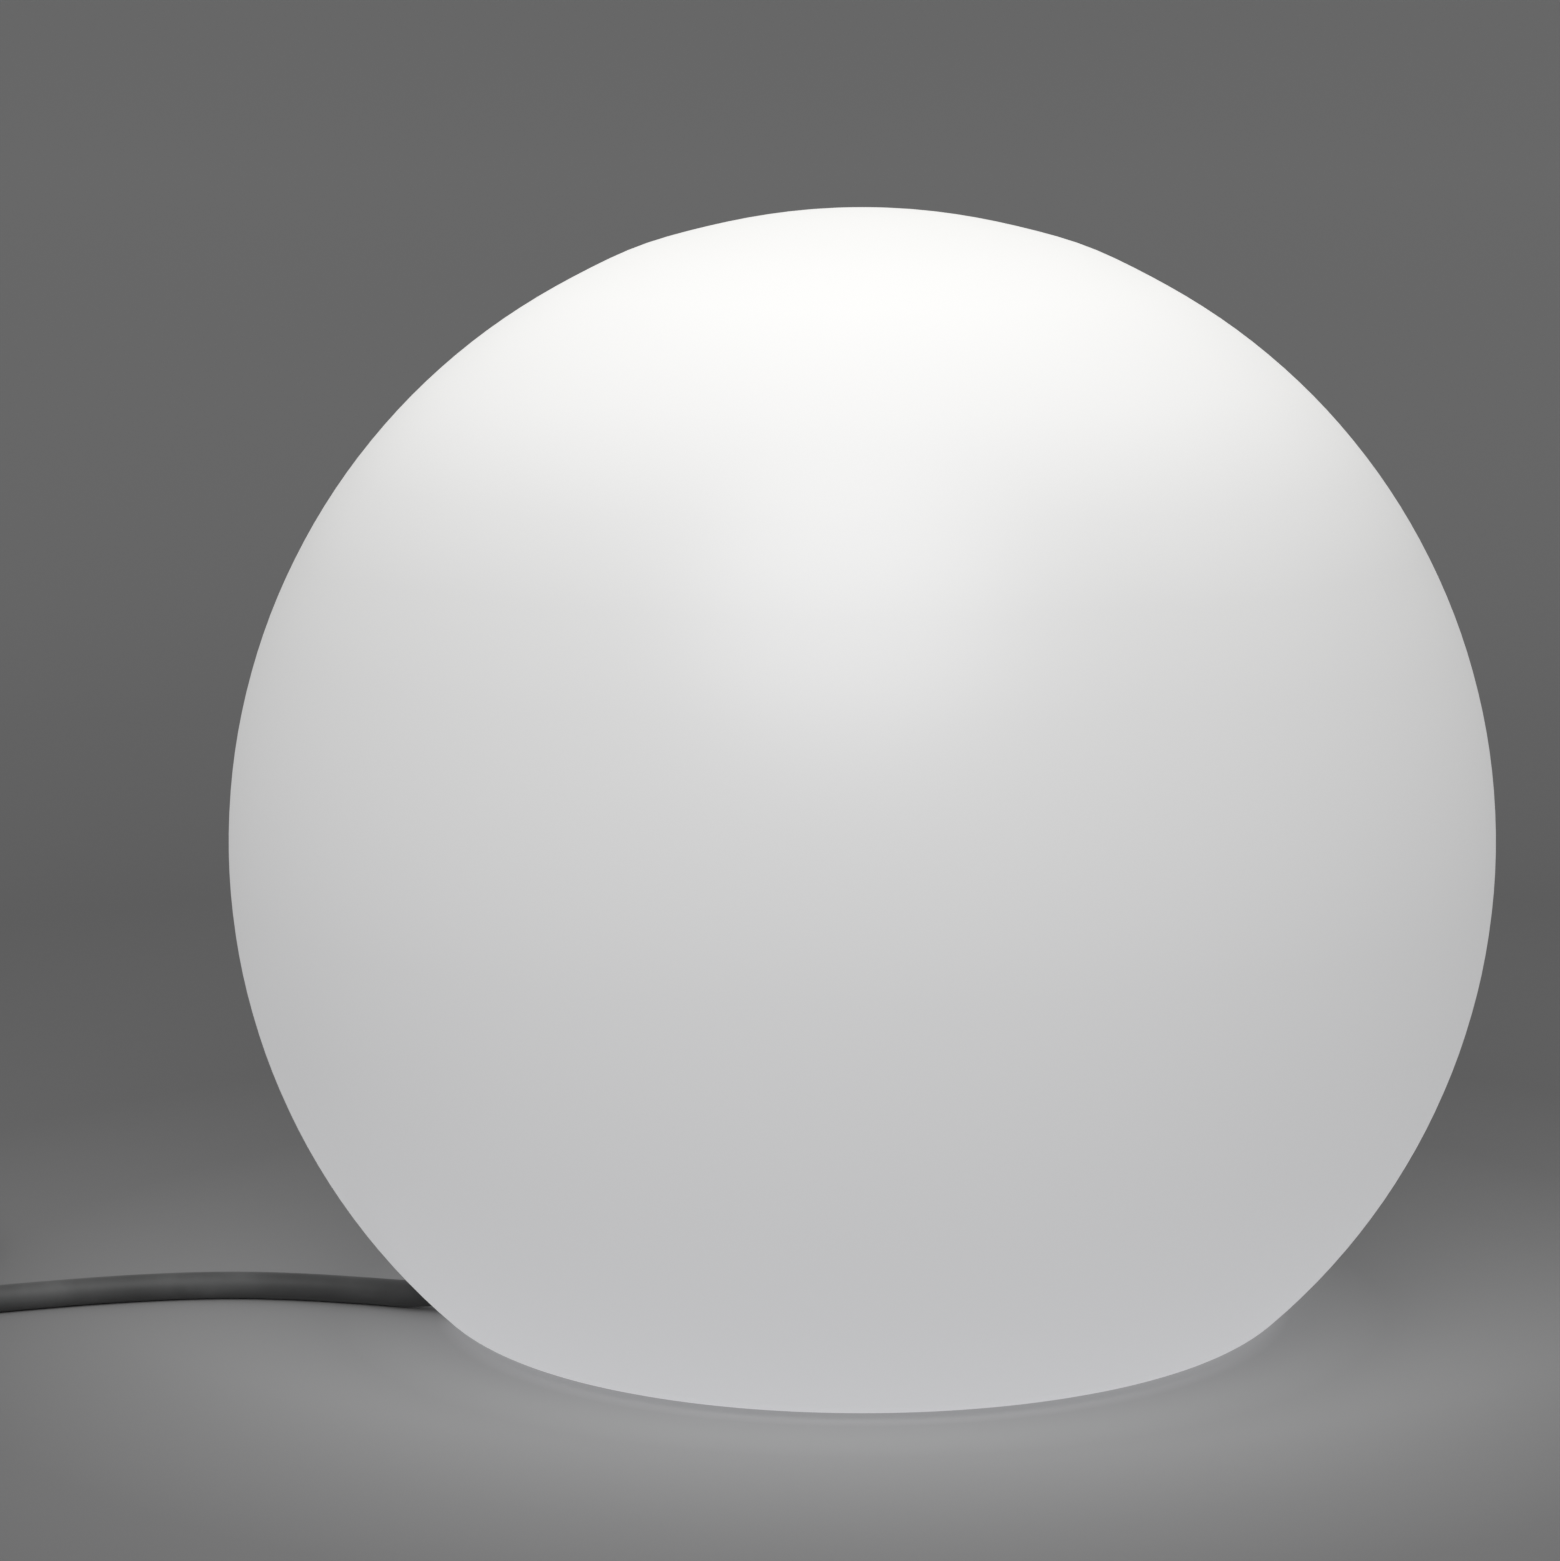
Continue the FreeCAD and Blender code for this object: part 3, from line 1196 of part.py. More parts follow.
def plug_body():
    """The moulded rubber plug: a tapered cord relief, a grip and a wider front."""
    relief = Part.makeCone(CORD_R + GUARD_TIP_WALL, PLUG_RELIEF_R, PLUG_RELIEF_L, PLUG_ENTRY, V(0, -1, 0))
    grip_y = PLUG_RELIEF_L - FIT_GAP
    front_y = PLUG_RELIEF_L + PLUG_L - PLUG_FLANGE_L
    end_y = PLUG_RELIEF_L + PLUG_L
    at = PLUG_ENTRY + V(0, -grip_y, 0)
    shoulder = Part.makeCone(PLUG_RELIEF_R, PLUG_GRIP_R, PLUG_FLANGE_L / 2, at, V(0, -1, 0))
    grip = rod_plug(PLUG_GRIP_R, grip_y + PLUG_FLANGE_L / 2 - FIT_GAP, front_y)
    front = rod_plug(PLUG_R, front_y, end_y)
    face = rod_plug(PLUG_FACE_R + FIT_GAP, end_y - PLUG_FACE_L, end_y + PAST)
    body = add(relief, shoulder, grip, front)
    clips = []
    for side in (-1, 1):
        z0 = side * (PLUG_R - CLIP_T / 2)
        clips.append(plug_box(CLIP_W / 2 + FIT_GAP, end_y - CLIP_L, end_y + PAST, z0 - CLIP_T, z0 + CLIP_T))
    roots = [rod_plug(PIN_ROOT_R + FIT_GAP, end_y - PIN_INSIDE, end_y, s * PIN_PITCH / 2) for s in (-1, 1)]
    return cut(body, face, *clips, *roots)


def plug_box(half, y0, y1, z0, z1):
    """A block along the plug, centred on its axis sideways."""
    return box(PLUG_ENTRY.x - half, PLUG_ENTRY.x + half, PLUG_ENTRY.y - y1, PLUG_ENTRY.y - y0,
               PLUG_ENTRY.z + z0, PLUG_ENTRY.z + z1)


def plug_face():
    """The hard insert in the plug's front that the pins stand in."""
    end_y = PLUG_RELIEF_L + PLUG_L
    disc = rod_plug(PLUG_FACE_R, end_y - PLUG_FACE_L + FIT_GAP, end_y)
    roots = [rod_plug(PIN_ROOT_R + FIT_GAP, 0, end_y + PAST, side * PIN_PITCH / 2) for side in (-1, 1)]
    return cut(disc, *roots)


def plug_pins():
    """The two round pins, each with a stouter root in the plug."""
    end_y = PLUG_RELIEF_L + PLUG_L
    shapes = []
    for side in (-1, 1):
        root = rod_plug(PIN_ROOT_R, end_y - PIN_INSIDE + FIT_GAP, end_y, side * PIN_PITCH / 2)
        pin = rod_plug(PIN_R, end_y - PIN_INSIDE / 2, end_y + PIN_L, side * PIN_PITCH / 2)
        shapes.append(add(root, pin))
    return group(shapes)


def plug_earth_clips():
    """The two earth strips let into the plug's front, above and below."""
    end_y = PLUG_RELIEF_L + PLUG_L
    shapes = []
    for side in (-1, 1):
        middle = side * (PLUG_R - CLIP_T)
        low = middle - CLIP_T / 2
        shapes.append(plug_box(CLIP_W / 2, end_y - CLIP_L + FIT_GAP, end_y, low, low + CLIP_T))
    return group(shapes)


# ---------------------------------------------------------------- the parts list

TURNED = {
    "base_dish": base_dish,
    "base_feet": base_feet,
    "base_gasket": base_gasket,
    "gland_washer": gland_washer,
    "gland_body": gland_body,
    "gland_seal": gland_seal,
    "gland_nut": gland_nut,
    "bend_guard": bend_guard,
    "cord_end": cord_end,
    "clamp_bar": clamp_bar,
    "clamp_screws": clamp_screws,
    "terminal_block": terminal_block,
    "terminal_sleeves": terminal_sleeves,
    "terminal_screws": terminal_screws,
    "block_screw": block_screw,
    "wire_live": lambda: wire(-CORE_SPREAD, "wire_live"),
    "wire_neutral": lambda: wire(0.0, "wire_neutral"),
    "wire_earth": lambda: wire(CORE_SPREAD, "wire_earth"),
    "lead_live": lambda: tube(lead_route(-CORE_SPREAD), CORE_R, "lead_live"),
    "lead_neutral": lambda: tube(lead_route(0.0), CORE_R, "lead_neutral"),
    "lead_earth": lambda: tube(lead_earth_route(), CORE_R, "lead_earth"),
    "earth_tag": earth_tag,
    "holder_bracket": holder_bracket,
    "bracket_screws": bracket_screws,
    "holder_nipple": holder_nipple,
    "holder_nut": holder_nut,
    "holder_cup": holder_cup,
    "holder_insert": holder_insert,
    "holder_sleeve": holder_sleeve,
    "holder_contact": holder_contact,
    "holder_terminals": holder_terminals,
    "holder_seal": holder_seal,
    "bulb_cap": bulb_cap,
    "bulb_insulator": bulb_insulator,
    "bulb_tip": bulb_tip,
    "bulb_housing": bulb_housing,
    "bulb_dome": bulb_dome,
    "bulb_board": bulb_board,
    "bulb_leds": bulb_leds,
    "bulb_driver": bulb_driver,
}

PLACED = {
    "globe_shell": globe_shell,
    "globe_collar": globe_collar,
    "collar_screws": collar_screws,
    "cord": lambda: tube(CORD_ROUTE, CORD_R, "cord"),
    "cord_coil": cord_coil,
    "cord_tail": lambda: tube(TAIL_ROUTE, CORD_R, "cord_tail"),
    "cord_ties": cord_ties,
    "plug_body": plug_body,
    "plug_face": plug_face,
    "plug_pins": plug_pins,
    "plug_earth_clips": plug_earth_clips,
}


def main():
    """Writes one file for each piece."""
    os.makedirs("parts", exist_ok=True)
    for name, make in TURNED.items():
        turned(make(), GLAND_TURN).exportStep(f"parts/{name}.step")
    for name, make in PLACED.items():
        make().exportStep(f"parts/{name}.step")


main()
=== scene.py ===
"""Garden globe light: a lit opal globe on a low sealed base, with its lampholder, bulb, cord and plug.

Metres, +Z up. The origin is the centre of the globe's footprint on the floor, the front is -Y, and the cord
leaves towards -X.
"""

import logging
import math
from collections.abc import Callable, Sequence
from dataclasses import dataclass, field
from enum import Enum
from functools import cache

import bpy
from mathutils import Euler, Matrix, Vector


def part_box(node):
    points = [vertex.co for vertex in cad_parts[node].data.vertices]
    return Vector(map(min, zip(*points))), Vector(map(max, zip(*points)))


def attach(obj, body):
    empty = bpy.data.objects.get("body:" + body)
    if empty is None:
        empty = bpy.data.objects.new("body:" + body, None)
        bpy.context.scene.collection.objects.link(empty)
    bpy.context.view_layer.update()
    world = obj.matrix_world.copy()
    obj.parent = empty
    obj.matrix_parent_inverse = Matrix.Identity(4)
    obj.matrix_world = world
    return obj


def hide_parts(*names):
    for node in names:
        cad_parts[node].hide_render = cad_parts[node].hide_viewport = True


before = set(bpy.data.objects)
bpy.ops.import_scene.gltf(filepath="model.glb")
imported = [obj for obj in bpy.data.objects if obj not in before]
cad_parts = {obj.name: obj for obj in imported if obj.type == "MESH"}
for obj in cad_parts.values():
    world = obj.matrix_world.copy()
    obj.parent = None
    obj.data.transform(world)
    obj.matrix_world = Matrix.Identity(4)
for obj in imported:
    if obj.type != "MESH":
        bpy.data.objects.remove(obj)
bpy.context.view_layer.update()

Piece = bpy.types.Object
Socket = bpy.types.NodeSocket
Outline = list[tuple[float, float]]

LOG = logging.getLogger("globe_light")

IMAGE_W = 1560  # pixels
IMAGE_H = 1561
SENSOR = 36.0  # millimetres

MERGE = 1e-6  # metres
GLAND_TURN = math.radians(5)  # from -X towards the front
CORD_RADIUS = 0.00435
CORD_EXIT = 0.0888  # from the base's axis
THREAD_PITCH = 0.003629  # an E27 cap's
SMOOTH_ANGLE = math.radians(32)
BEVEL_ANGLE = math.radians(35)
FLAT_ANGLE = math.radians(0.5)
QUARTER = math.pi / 2


class Body(Enum):
    """The moving bodies that a piece can ride on."""

    BASE = "base"
    GASKET = "gasket"
    GLOBE = "globe"
    SEAL = "seal"
    BULB = "bulb"


class Lie(Enum):
    """Which way a turned piece's axis points, as the turn that takes +Z there."""

    PLUG = (QUARTER, 0.0, 0.0)
    GLAND = (0.0, -QUARTER, GLAND_TURN)


# ------------------------------------------------------------------ finishes


class Tree:
    """A tree of shader nodes."""

    def __init__(self, tree: bpy.types.NodeTree) -> None:
        """Takes the tree to work on.

        Args:
            tree: The node tree.
        """
        self.tree = tree

    def feed(self, socket: Socket, value: object) -> None:
        """Links a socket to another one, or sets its value.

        Args:
            socket: The input socket.
            value: An output socket, or the value.
        """
        if isinstance(value, Socket):
            self.tree.links.new(value, socket)
        else:
            socket.default_value = value

    def node(self, kind: str, settings: dict | None = None, **inputs: object) -> bpy.types.Node:
        """Adds a node.

        Args:
            kind: The node's type name, without ShaderNode in front.
            settings: The node's own properties.
            inputs: Values or output sockets for its inputs, with underscores for spaces.

        Returns:
            The new node.
        """
        made = self.tree.nodes.new("ShaderNode" + kind)
        for name, value in (settings or {}).items():
            setattr(made, name, value)
        for name, value in inputs.items():
            self.feed(made.inputs[name.replace("_", " ")], value)
        return made

    def math(self, operation: str, one: object, two: object) -> Socket:
        """Works out a value from two others.

        Args:
            operation: The Math node's operation.
            one: A number or an output socket.
            two: A number or an output socket.

        Returns:
            The result.
        """
        made = self.node("Math", {"operation": operation})
        self.feed(made.inputs[0], one)
        self.feed(made.inputs[1], two)
        return made.outputs["Value"]


class Shader(Tree):
    """One material, which holds a Principled shader."""

    def __init__(self, name: str) -> None:
        """Starts the material.

        Args:
            name: The material's name.
        """
        self.material = bpy.data.materials.new(name)
        self.material.use_nodes = True
        super().__init__(self.material.node_tree)
        self.surface = self.tree.nodes["Principled BSDF"]

    def set(self, **values: object) -> None:
        """Sets or feeds the shader's own sockets, with underscores for the spaces in their names."""
        for name, value in values.items():
            self.feed(self.surface.inputs[name.replace("_", " ")], value)

    def place(self) -> Socket:
        """The piece's own coordinates, in metres."""
        return self.node("TexCoord").outputs["Object"]

    def noise(self, scale: float, detail: float, stretch: tuple = (1, 1, 1)) -> Socket:
        """A noise from 0 to 1 on the piece's own coordinates.

        Args:
            scale: Features per metre.
            detail: Octaves.
            stretch: How much finer it is along each axis.

        Returns:
            The noise's value.
        """
        mapped = self.node("Mapping", Vector=self.place(), Scale=stretch).outputs["Vector"]
        return self.node("TexNoise", Vector=mapped, Scale=scale, Detail=detail).outputs["Fac"]

    def bands(self, direction: str, scale: float, wobble: float) -> Socket:
        """Bands from 0 to 1 on the piece's own coordinates.

        Args:
            direction: The way they follow each other.
            scale: Bands per metre.
            wobble: How far they stray.

        Returns:
            The bands' value.
        """
        settings = {"wave_type": "BANDS", "bands_direction": direction}
        made = self.node("TexWave", settings, Vector=self.place(), Scale=scale, Distortion=wobble)
        return made.outputs["Fac"]

    def ramp(self, value: Socket, stops: Sequence[tuple[float, tuple]]) -> Socket:
        """Colours along a value.

        Args:
            value: The value, from 0 to 1.
            stops: The place and the colour of each stop.

        Returns:
            The colour.
        """
        made = self.node("ValToRGB", Fac=value)
        band = made.color_ramp.elements
        while len(band) < len(stops):
            band.new(0.5)
        for element, (at, colour) in zip(band, stops):
            element.position = at
            element.color = (*colour[:3], 1.0)
        return made.outputs["Color"]

    def spread(self, value: Socket, mean: float, low: float, high: float) -> Socket:
        """The value, mapped from 0..1 to low..high times the mean."""
        return self.node("MapRange", Value=value, To_Min=mean * low, To_Max=mean * high).outputs["Result"]

    def bump(self, height: Socket, depth: float, strength: float) -> None:
        """Raises the surface.

        Args:
            height: The height, from 0 to 1.
            depth: What a height of 1 is, in metres.
            strength: How strongly it shows.
        """
        self.set(Normal=self.node("Bump", Height=height, Distance=depth, Strength=strength).outputs["Normal"])


def shade(colour: tuple, factor: float) -> tuple:
    """The colour made lighter or darker."""
    return tuple(min(c * factor, 1.0) for c in colour)


@dataclass(frozen=True)
class Finish:
    """What every finish has.

    Attributes:
        slot: The name of its material.
        colour: Its linear colour.
        rough: Its mean roughness.
    """

    slot: str
    colour: tuple[float, float, float]
    rough: float

    def build(self) -> bpy.types.Material:
        """Makes the material.

        Returns:
            The material.
        """
        shader = Shader(self.slot)
        self.dress(shader)
        return shader.material

    def dress(self, shader: Shader) -> None:
        """Adds the finish to a new material."""
        raise NotImplementedError


@dataclass(frozen=True)
class Moulded(Finish):
    """Moulded plastic, rubber or porcelain, with a fine grain and a little uneven gloss."""

    grain: float = 2600.0  # grains per metre
    depth: float = 0.00003
    mottle: float = 0.06
    coat: float = 0.0

    def dress(self, shader: Shader) -> None:
        """Adds the patches, the grain and the coat.

        Args:
            shader: The new material.
        """
        stops = [(0.3, shade(self.colour, 1 - self.mottle)), (0.7, shade(self.colour, 1 + self.mottle))]
        fine = shader.noise(self.grain, detail=2.0)
        patches = shader.noise(scale=60.0, detail=4.0)
        shader.set(Base_Color=shader.ramp(patches, stops),
                   Roughness=shader.spread(fine, self.rough, 0.88, 1.12),
                   Coat_Weight=self.coat, Coat_Roughness=0.12)
        shader.bump(fine, self.depth, strength=0.6)


@dataclass(frozen=True)
class Metal(Finish):
    """Bare or plated metal with turning or rolling marks."""

    marks: tuple[float, float, float] = (1.0, 1.0, 14.0)  # how fine the marks are along each axis
    depth: float = 0.00001

    def dress(self, shader: Shader) -> None:
        """Adds the stains and the marks.

        Args:
            shader: The new material.
        """
        stops = [(0.35, shade(self.colour, 0.86)), (0.62, self.colour)]
        stains = shader.noise(scale=90.0, detail=5.0)
        lines = shader.noise(scale=500.0, detail=4.0, stretch=self.marks)
        shader.set(Base_Color=shader.ramp(stains, stops), Metallic=1.0,
                   Roughness=shader.spread(lines, self.rough, 0.75, 1.3))
        shader.bump(lines, self.depth, strength=0.5)


@dataclass(frozen=True)
class LitOpal(Finish):
    """Opal plastic with light behind it, brightest at the top.

    Attributes:
        high: The height of the crown above the floor.
        glow: The place, from 0 at the floor to 1 at the crown, and the glow's colour there.
    """

    high: float
    glow: tuple[tuple[float, tuple[float, float, float]], ...]
    drift: float = 0.012  # how far the glow strays from its height, as a share

    def dress(self, shader: Shader) -> None:
        """Adds the glow and the satin skin.

        Args:
            shader: The new material.
        """
        height = shader.node("SeparateXYZ", Vector=shader.place()).outputs["Z"]
        level = shader.node("MapRange", Value=height, From_Max=self.high).outputs["Result"]
        stray = shader.spread(shader.noise(scale=9.0, detail=2.0), self.drift, -1, 1)
        fine = shader.noise(scale=1500.0, detail=3.0)
        shader.set(Base_Color=(*self.colour, 1.0), Roughness=shader.spread(fine, self.rough, 0.9, 1.1),
                   Emission_Color=shader.ramp(shader.math("ADD", level, stray), self.glow),
                   Emission_Strength=1.0)
        shader.bump(fine, depth=0.000012, strength=0.4)


@dataclass(frozen=True)
class Cable(Finish):
    """A rubber cable's sheath: dull, with a faint bloom, scuffs and a fine skin."""

    def dress(self, shader: Shader) -> None:
        """Adds the bloom and the skin.

        Args:
            shader: The new material.
        """
        stops = [(0.3, shade(self.colour, 0.75)), (0.55, self.colour), (0.78, shade(self.colour, 1.5))]
        bloom = shader.noise(scale=45.0, detail=6.0)
        shader.set(Base_Color=shader.ramp(bloom, stops), Sheen_Weight=0.15, Sheen_Roughness=0.5,
                   Roughness=shader.spread(bloom, self.rough, 0.85, 1.15))
        skin = shader.noise(scale=1800.0, detail=3.0)
        shader.bump(skin, depth=0.00004, strength=0.7)


@dataclass(frozen=True)
class Striped(Finish):
    """A core's insulation in two colours."""

    second: tuple[float, float, float]
    stripes: float = 170.0  # stripes per metre

    def dress(self, shader: Shader) -> None:
        """Adds the stripes.

        Args:
            shader: The new material.
        """
        stripes = shader.bands("DIAGONAL", self.stripes, wobble=0.4)
        fine = shader.noise(scale=3000.0, detail=2.0)
        shader.set(Base_Color=shader.ramp(stripes, [(0.48, self.colour), (0.56, self.second)]),
                   Roughness=shader.spread(fine, self.rough, 0.85, 1.15))


@dataclass(frozen=True)
class Woven(Finish):
    """A woven strap with hooks and loops."""

    threads: float = 1100.0  # threads per metre

    def dress(self, shader: Shader) -> None:
        """Adds the threads that cross each other, with painted shade in the gaps between them and lighter
        thread tops.

        Args:
            shader: The new material.
        """
        warp, weft = (shader.bands(way, self.threads, wobble=1.5) for way in ("Z", "DIAGONAL"))
        weave = shader.math("MAXIMUM", warp, weft)
        # Painted shade: the colour darkens where the weave is low, between the threads, and lightens on their
        # tops.
        stops = [(0.1, shade(self.colour, 0.5)), (0.9, shade(self.colour, 1.6))]
        shader.set(Base_Color=shader.ramp(weave, stops), Roughness=self.rough, Sheen_Weight=0.4,
                   Sheen_Roughness=0.4)
        shader.bump(weave, depth=0.0002, strength=0.8)


@dataclass(frozen=True)
class Glow(Finish):
    """A part of the bulb that shines."""

    strength: float

    def dress(self, shader: Shader) -> None:
        """Adds a slightly cloudy glow.

        Args:
            shader: The new material.
        """
        stops = [(0.3, shade(self.colour, 0.93)), (0.7, self.colour)]
        clouds = shader.noise(scale=40.0, detail=3.0)
        shader.set(Base_Color=(*self.colour, 1.0), Roughness=self.rough, Emission_Strength=self.strength,
                   Emission_Color=shader.ramp(clouds, stops))


@dataclass(frozen=True)
class Floor(Finish):
    """The studio's floor: a painted pool of light round the globe, which also paints out the shade under its
    edge, and a plain grey beyond it.

    Attributes:
        tones_with_painted_pool: The distance from the light in metres, and the floor's grey there, brightened
            near the globe as a painted pool of light.
    """

    tones_with_painted_pool: tuple[tuple[float, float], ...]

    def dress(self, shader: Shader) -> None:
        """Adds the painted pool of light and the grey beyond it, on a ramp that runs out to any distance.

        Args:
            shader: The new material.
        """
        away = shader.node("VectorMath", {"operation": "LENGTH"})
        shader.feed(away.inputs[0], shader.place())
        reach = away.outputs["Value"]
        share = shader.math("DIVIDE", reach, shader.math("ADD", reach, 1.0))
        # Painted light: the pale tones near the globe stand for its glow falling on the floor and hide the
        # shade under its edge.
        stops = [(r / (r + 1), (tone, tone, tone * 1.004)) for r, tone in self.tones_with_painted_pool]
        fine = shader.noise(scale=120.0, detail=4.0)
        shader.set(Base_Color=shader.ramp(share, stops), Roughness=shader.spread(fine, self.rough, 0.92, 1),
                   Specular_IOR_Level=0.2)


GLOBE_LEVELS = ((0.0, 0.43), (0.2, 0.405), (0.4, 0.39), (0.62, 0.41), (0.7, 0.435), (0.77, 0.5), (0.85, 0.61),
                (0.93, 0.69), (1.0, 0.70))
# The glow is a little bluer below and a little warmer above.
GLOBE_GLOW = tuple(
    (at, (level, level * (1.005 - 0.01 * at), level * (1.03 - 0.06 * at))) for at, level in GLOBE_LEVELS)

OPAL = LitOpal("opal_globe", (0.27, 0.27, 0.272), 0.42, high=0.352, glow=GLOBE_GLOW)
COLLAR = Moulded("collar_plastic", (0.62, 0.62, 0.60), 0.45)
BASE = Moulded("base_plastic", (0.58, 0.58, 0.565), 0.5, mottle=0.03)
FOOT = Moulded("foot_rubber", (0.012, 0.012, 0.012), 0.8, mottle=0.2)
GASKET = Moulded("gasket_rubber", (0.085, 0.085, 0.09), 0.6, mottle=0.1)
NYLON = Moulded("gland_plastic", (0.018, 0.018, 0.019), 0.42, mottle=0.12)
CABLE = Cable("cord_rubber", (0.062, 0.063, 0.063), 0.62)
PLUG_RUBBER = Moulded("plug_rubber", (0.011, 0.011, 0.011), 0.55, mottle=0.2)
PLUG_INSERT = Moulded("plug_insert", (0.016, 0.016, 0.016), 0.35, mottle=0.1)
STRAP = Woven("tie_fabric", (0.012, 0.012, 0.013), 0.85)
BRASS = Metal("brass", (0.70, 0.47, 0.19), 0.28)
NICKEL = Metal("nickel", (0.66, 0.64, 0.60), 0.2)
ZINC = Metal("zinc_steel", (0.55, 0.56, 0.58), 0.38, marks=(9.0, 1.0, 1.0))
STAINLESS = Metal("stainless", (0.50, 0.50, 0.51), 0.3)
CORE_BROWN = Moulded("core_brown", (0.075, 0.026, 0.010), 0.35)
CORE_BLUE = Moulded("core_blue", (0.008, 0.045, 0.26), 0.35)
CORE_EARTH = Striped("core_green_yellow", (0.02, 0.22, 0.03), 0.35, second=(0.75, 0.62, 0.03))
TERMINAL = Moulded("terminal_plastic", (0.66, 0.64, 0.57), 0.4, coat=0.2)
HOLDER = Moulded("holder_black", (0.008, 0.008, 0.009), 0.26, coat=0.4)
PORCELAIN = Moulded("porcelain", (0.76, 0.74, 0.69), 0.22, coat=0.6)
SEAL = Moulded("seal_rubber", (0.010, 0.010, 0.010), 0.7)
BULB_OPAL = Glow("bulb_opal", (0.9, 0.875, 0.835), 0.4, 0.62)
BULB_WHITE = Moulded("bulb_white", (0.78, 0.78, 0.76), 0.32, mottle=0.02)
BLACK_GLASS = Moulded("black_glass", (0.004, 0.004, 0.005), 0.1, coat=0.8)
BOARD = Metal("board_aluminium", (0.80, 0.80, 0.81), 0.45)
PHOSPHOR = Glow("led_yellow", (1.0, 0.82, 0.35), 0.4, 1.0)
CIRCUIT = Moulded("board_green", (0.006, 0.085, 0.02), 0.3, mottle=0.15, coat=0.3)


@cache
def material(finish: Finish) -> bpy.types.Material:
    """The finish's material, made once."""
    return finish.build()


# ------------------------------------------------------------------ the bench


def deselect() -> None:
    """Deselects everything, since an operator acts on all that is selected."""
    bpy.ops.object.select_all(action="DESELECT")


def pick(*pieces: Piece) -> None:
    """Selects these pieces alone.

    Args:
        pieces: The pieces; the first is the active one.
    """
    deselect()
    for piece in pieces:
        piece.select_set(True)
    bpy.context.view_layer.objects.active = pieces[0]


def edit(piece: Piece) -> None:
    """Opens the piece in edit mode with all of it selected.

    Args:
        piece: The piece.
    """
    pick(piece)
    bpy.ops.object.mode_set(mode="EDIT")
    whole()


def choose(piece: Piece, kind: str, test: Callable[[object], bool]) -> None:
    """Opens the piece in edit mode with some of it selected.

    Args:
        piece: The piece.
        kind: FACE or EDGE.
        test: Says whether a face or an edge is selected.
    """
    pick(piece)
    bpy.ops.object.mode_set(mode="EDIT")
    bpy.ops.mesh.select_mode(type=kind)
    bpy.ops.mesh.select_all(action="DESELECT")
    bpy.ops.object.mode_set(mode="OBJECT")
    for part in piece.data.polygons if kind == "FACE" else piece.data.edges:
        part.select = test(part)
    bpy.ops.object.mode_set(mode="EDIT")


def whole() -> None:
    """Selects all of the piece that is open."""
    bpy.ops.mesh.select_all(action="SELECT")


def close() -> None:
    """Leaves edit mode."""
    bpy.ops.object.mode_set(mode="OBJECT")


def added(name: str) -> Piece:
    """Names the piece that was just added.

    Args:
        name: Its name.

    Returns:
        The piece.
    """
    piece = bpy.context.view_layer.objects.active
    piece.name = name
    piece.data.name = name
    return piece


def apply_place(piece: Piece) -> None:
    """Puts the object's place, turn and size into its mesh."""
    pick(piece)
    bpy.ops.object.transform_apply(location=True, rotation=True, scale=True)


def modify(piece: Piece, kind: str, **settings: object) -> None:
    """Adds a modifier to the piece and applies it.

    Args:
        piece: The piece.
        kind: The modifier's type.
        settings: The modifier's properties.
    """
    pick(piece)
    modifier = piece.modifiers.new(kind.lower(), kind)
    for name, value in settings.items():
        setattr(modifier, name, value)
    bpy.ops.object.modifier_apply(modifier=modifier.name)


def lathe(name: str, outline: Outline, steps: int = 64, start: float = 0.0, span: float = 360.0) -> Piece:
    """A turned piece about Z.

    Args:
        name: The piece's name.
        outline: The corners of a closed outline, as radius and height.
        steps: Steps round the turn.
        start: Where the turn starts, in degrees.
        span: How far it goes, in degrees.

    Returns:
        The piece.
    """
    # A small plane is merged to one point, which is extruded along the outline.
    deselect()
    bpy.ops.mesh.primitive_plane_add(size=0.001)
    piece = added(name)
    edit(piece)
    bpy.ops.mesh.select_mode(type="VERT")
    bpy.ops.mesh.merge(type="CENTER")
    radius, height = outline[0]
    bpy.ops.transform.translate(value=(radius, 0, height))
    for (r0, z0), (r1, z1) in zip(outline, outline[1:] + outline[:1]):
        bpy.ops.mesh.extrude_vertices_move(TRANSFORM_OT_translate={"value": (r1 - r0, 0, z1 - z0)})
    whole()
    bpy.ops.mesh.remove_doubles(threshold=MERGE)
    bpy.ops.mesh.spin(steps=steps, angle=-math.radians(span), center=(0, 0, 0), axis=(0, 0, 1))
    whole()
    bpy.ops.mesh.remove_doubles(threshold=MERGE)
    bpy.ops.mesh.delete_loose()
    whole()
    if span < 360:
        bpy.ops.mesh.fill_holes(sides=0)
    whole()
    bpy.ops.mesh.normals_make_consistent(inside=False)
    close()
    piece.rotation_euler = (0, 0, math.radians(start))
    apply_place(piece)
    return piece


def arc(centre: tuple[float, float], radius: float, start: float, end: float, steps: int = 6) -> Outline:
    """Points along an arc of an outline.

    Args:
        centre: The arc's centre, as radius and height.
        radius: The arc's radius.
        start: Its first angle in radians.
        end: Its last angle in radians.
        steps: Steps along it.

    Returns:
        The points, both ends included.
    """
    angles = [start + (end - start) * i / steps for i in range(steps + 1)]
    return [(centre[0] + radius * math.cos(a), centre[1] + radius * math.sin(a)) for a in angles]


def laid(piece: Piece, lie: Lie, at: Vector) -> Piece:
    """Turns the piece from +Z to its lie and moves it into place.

    Args:
        piece: The piece, drawn about Z with its start at z = 0.
        lie: The way it points.
        at: Where its start goes.

    Returns:
        The same piece.
    """
    piece.rotation_euler = Euler(lie.value)
    piece.location = at
    apply_place(piece)
    return piece


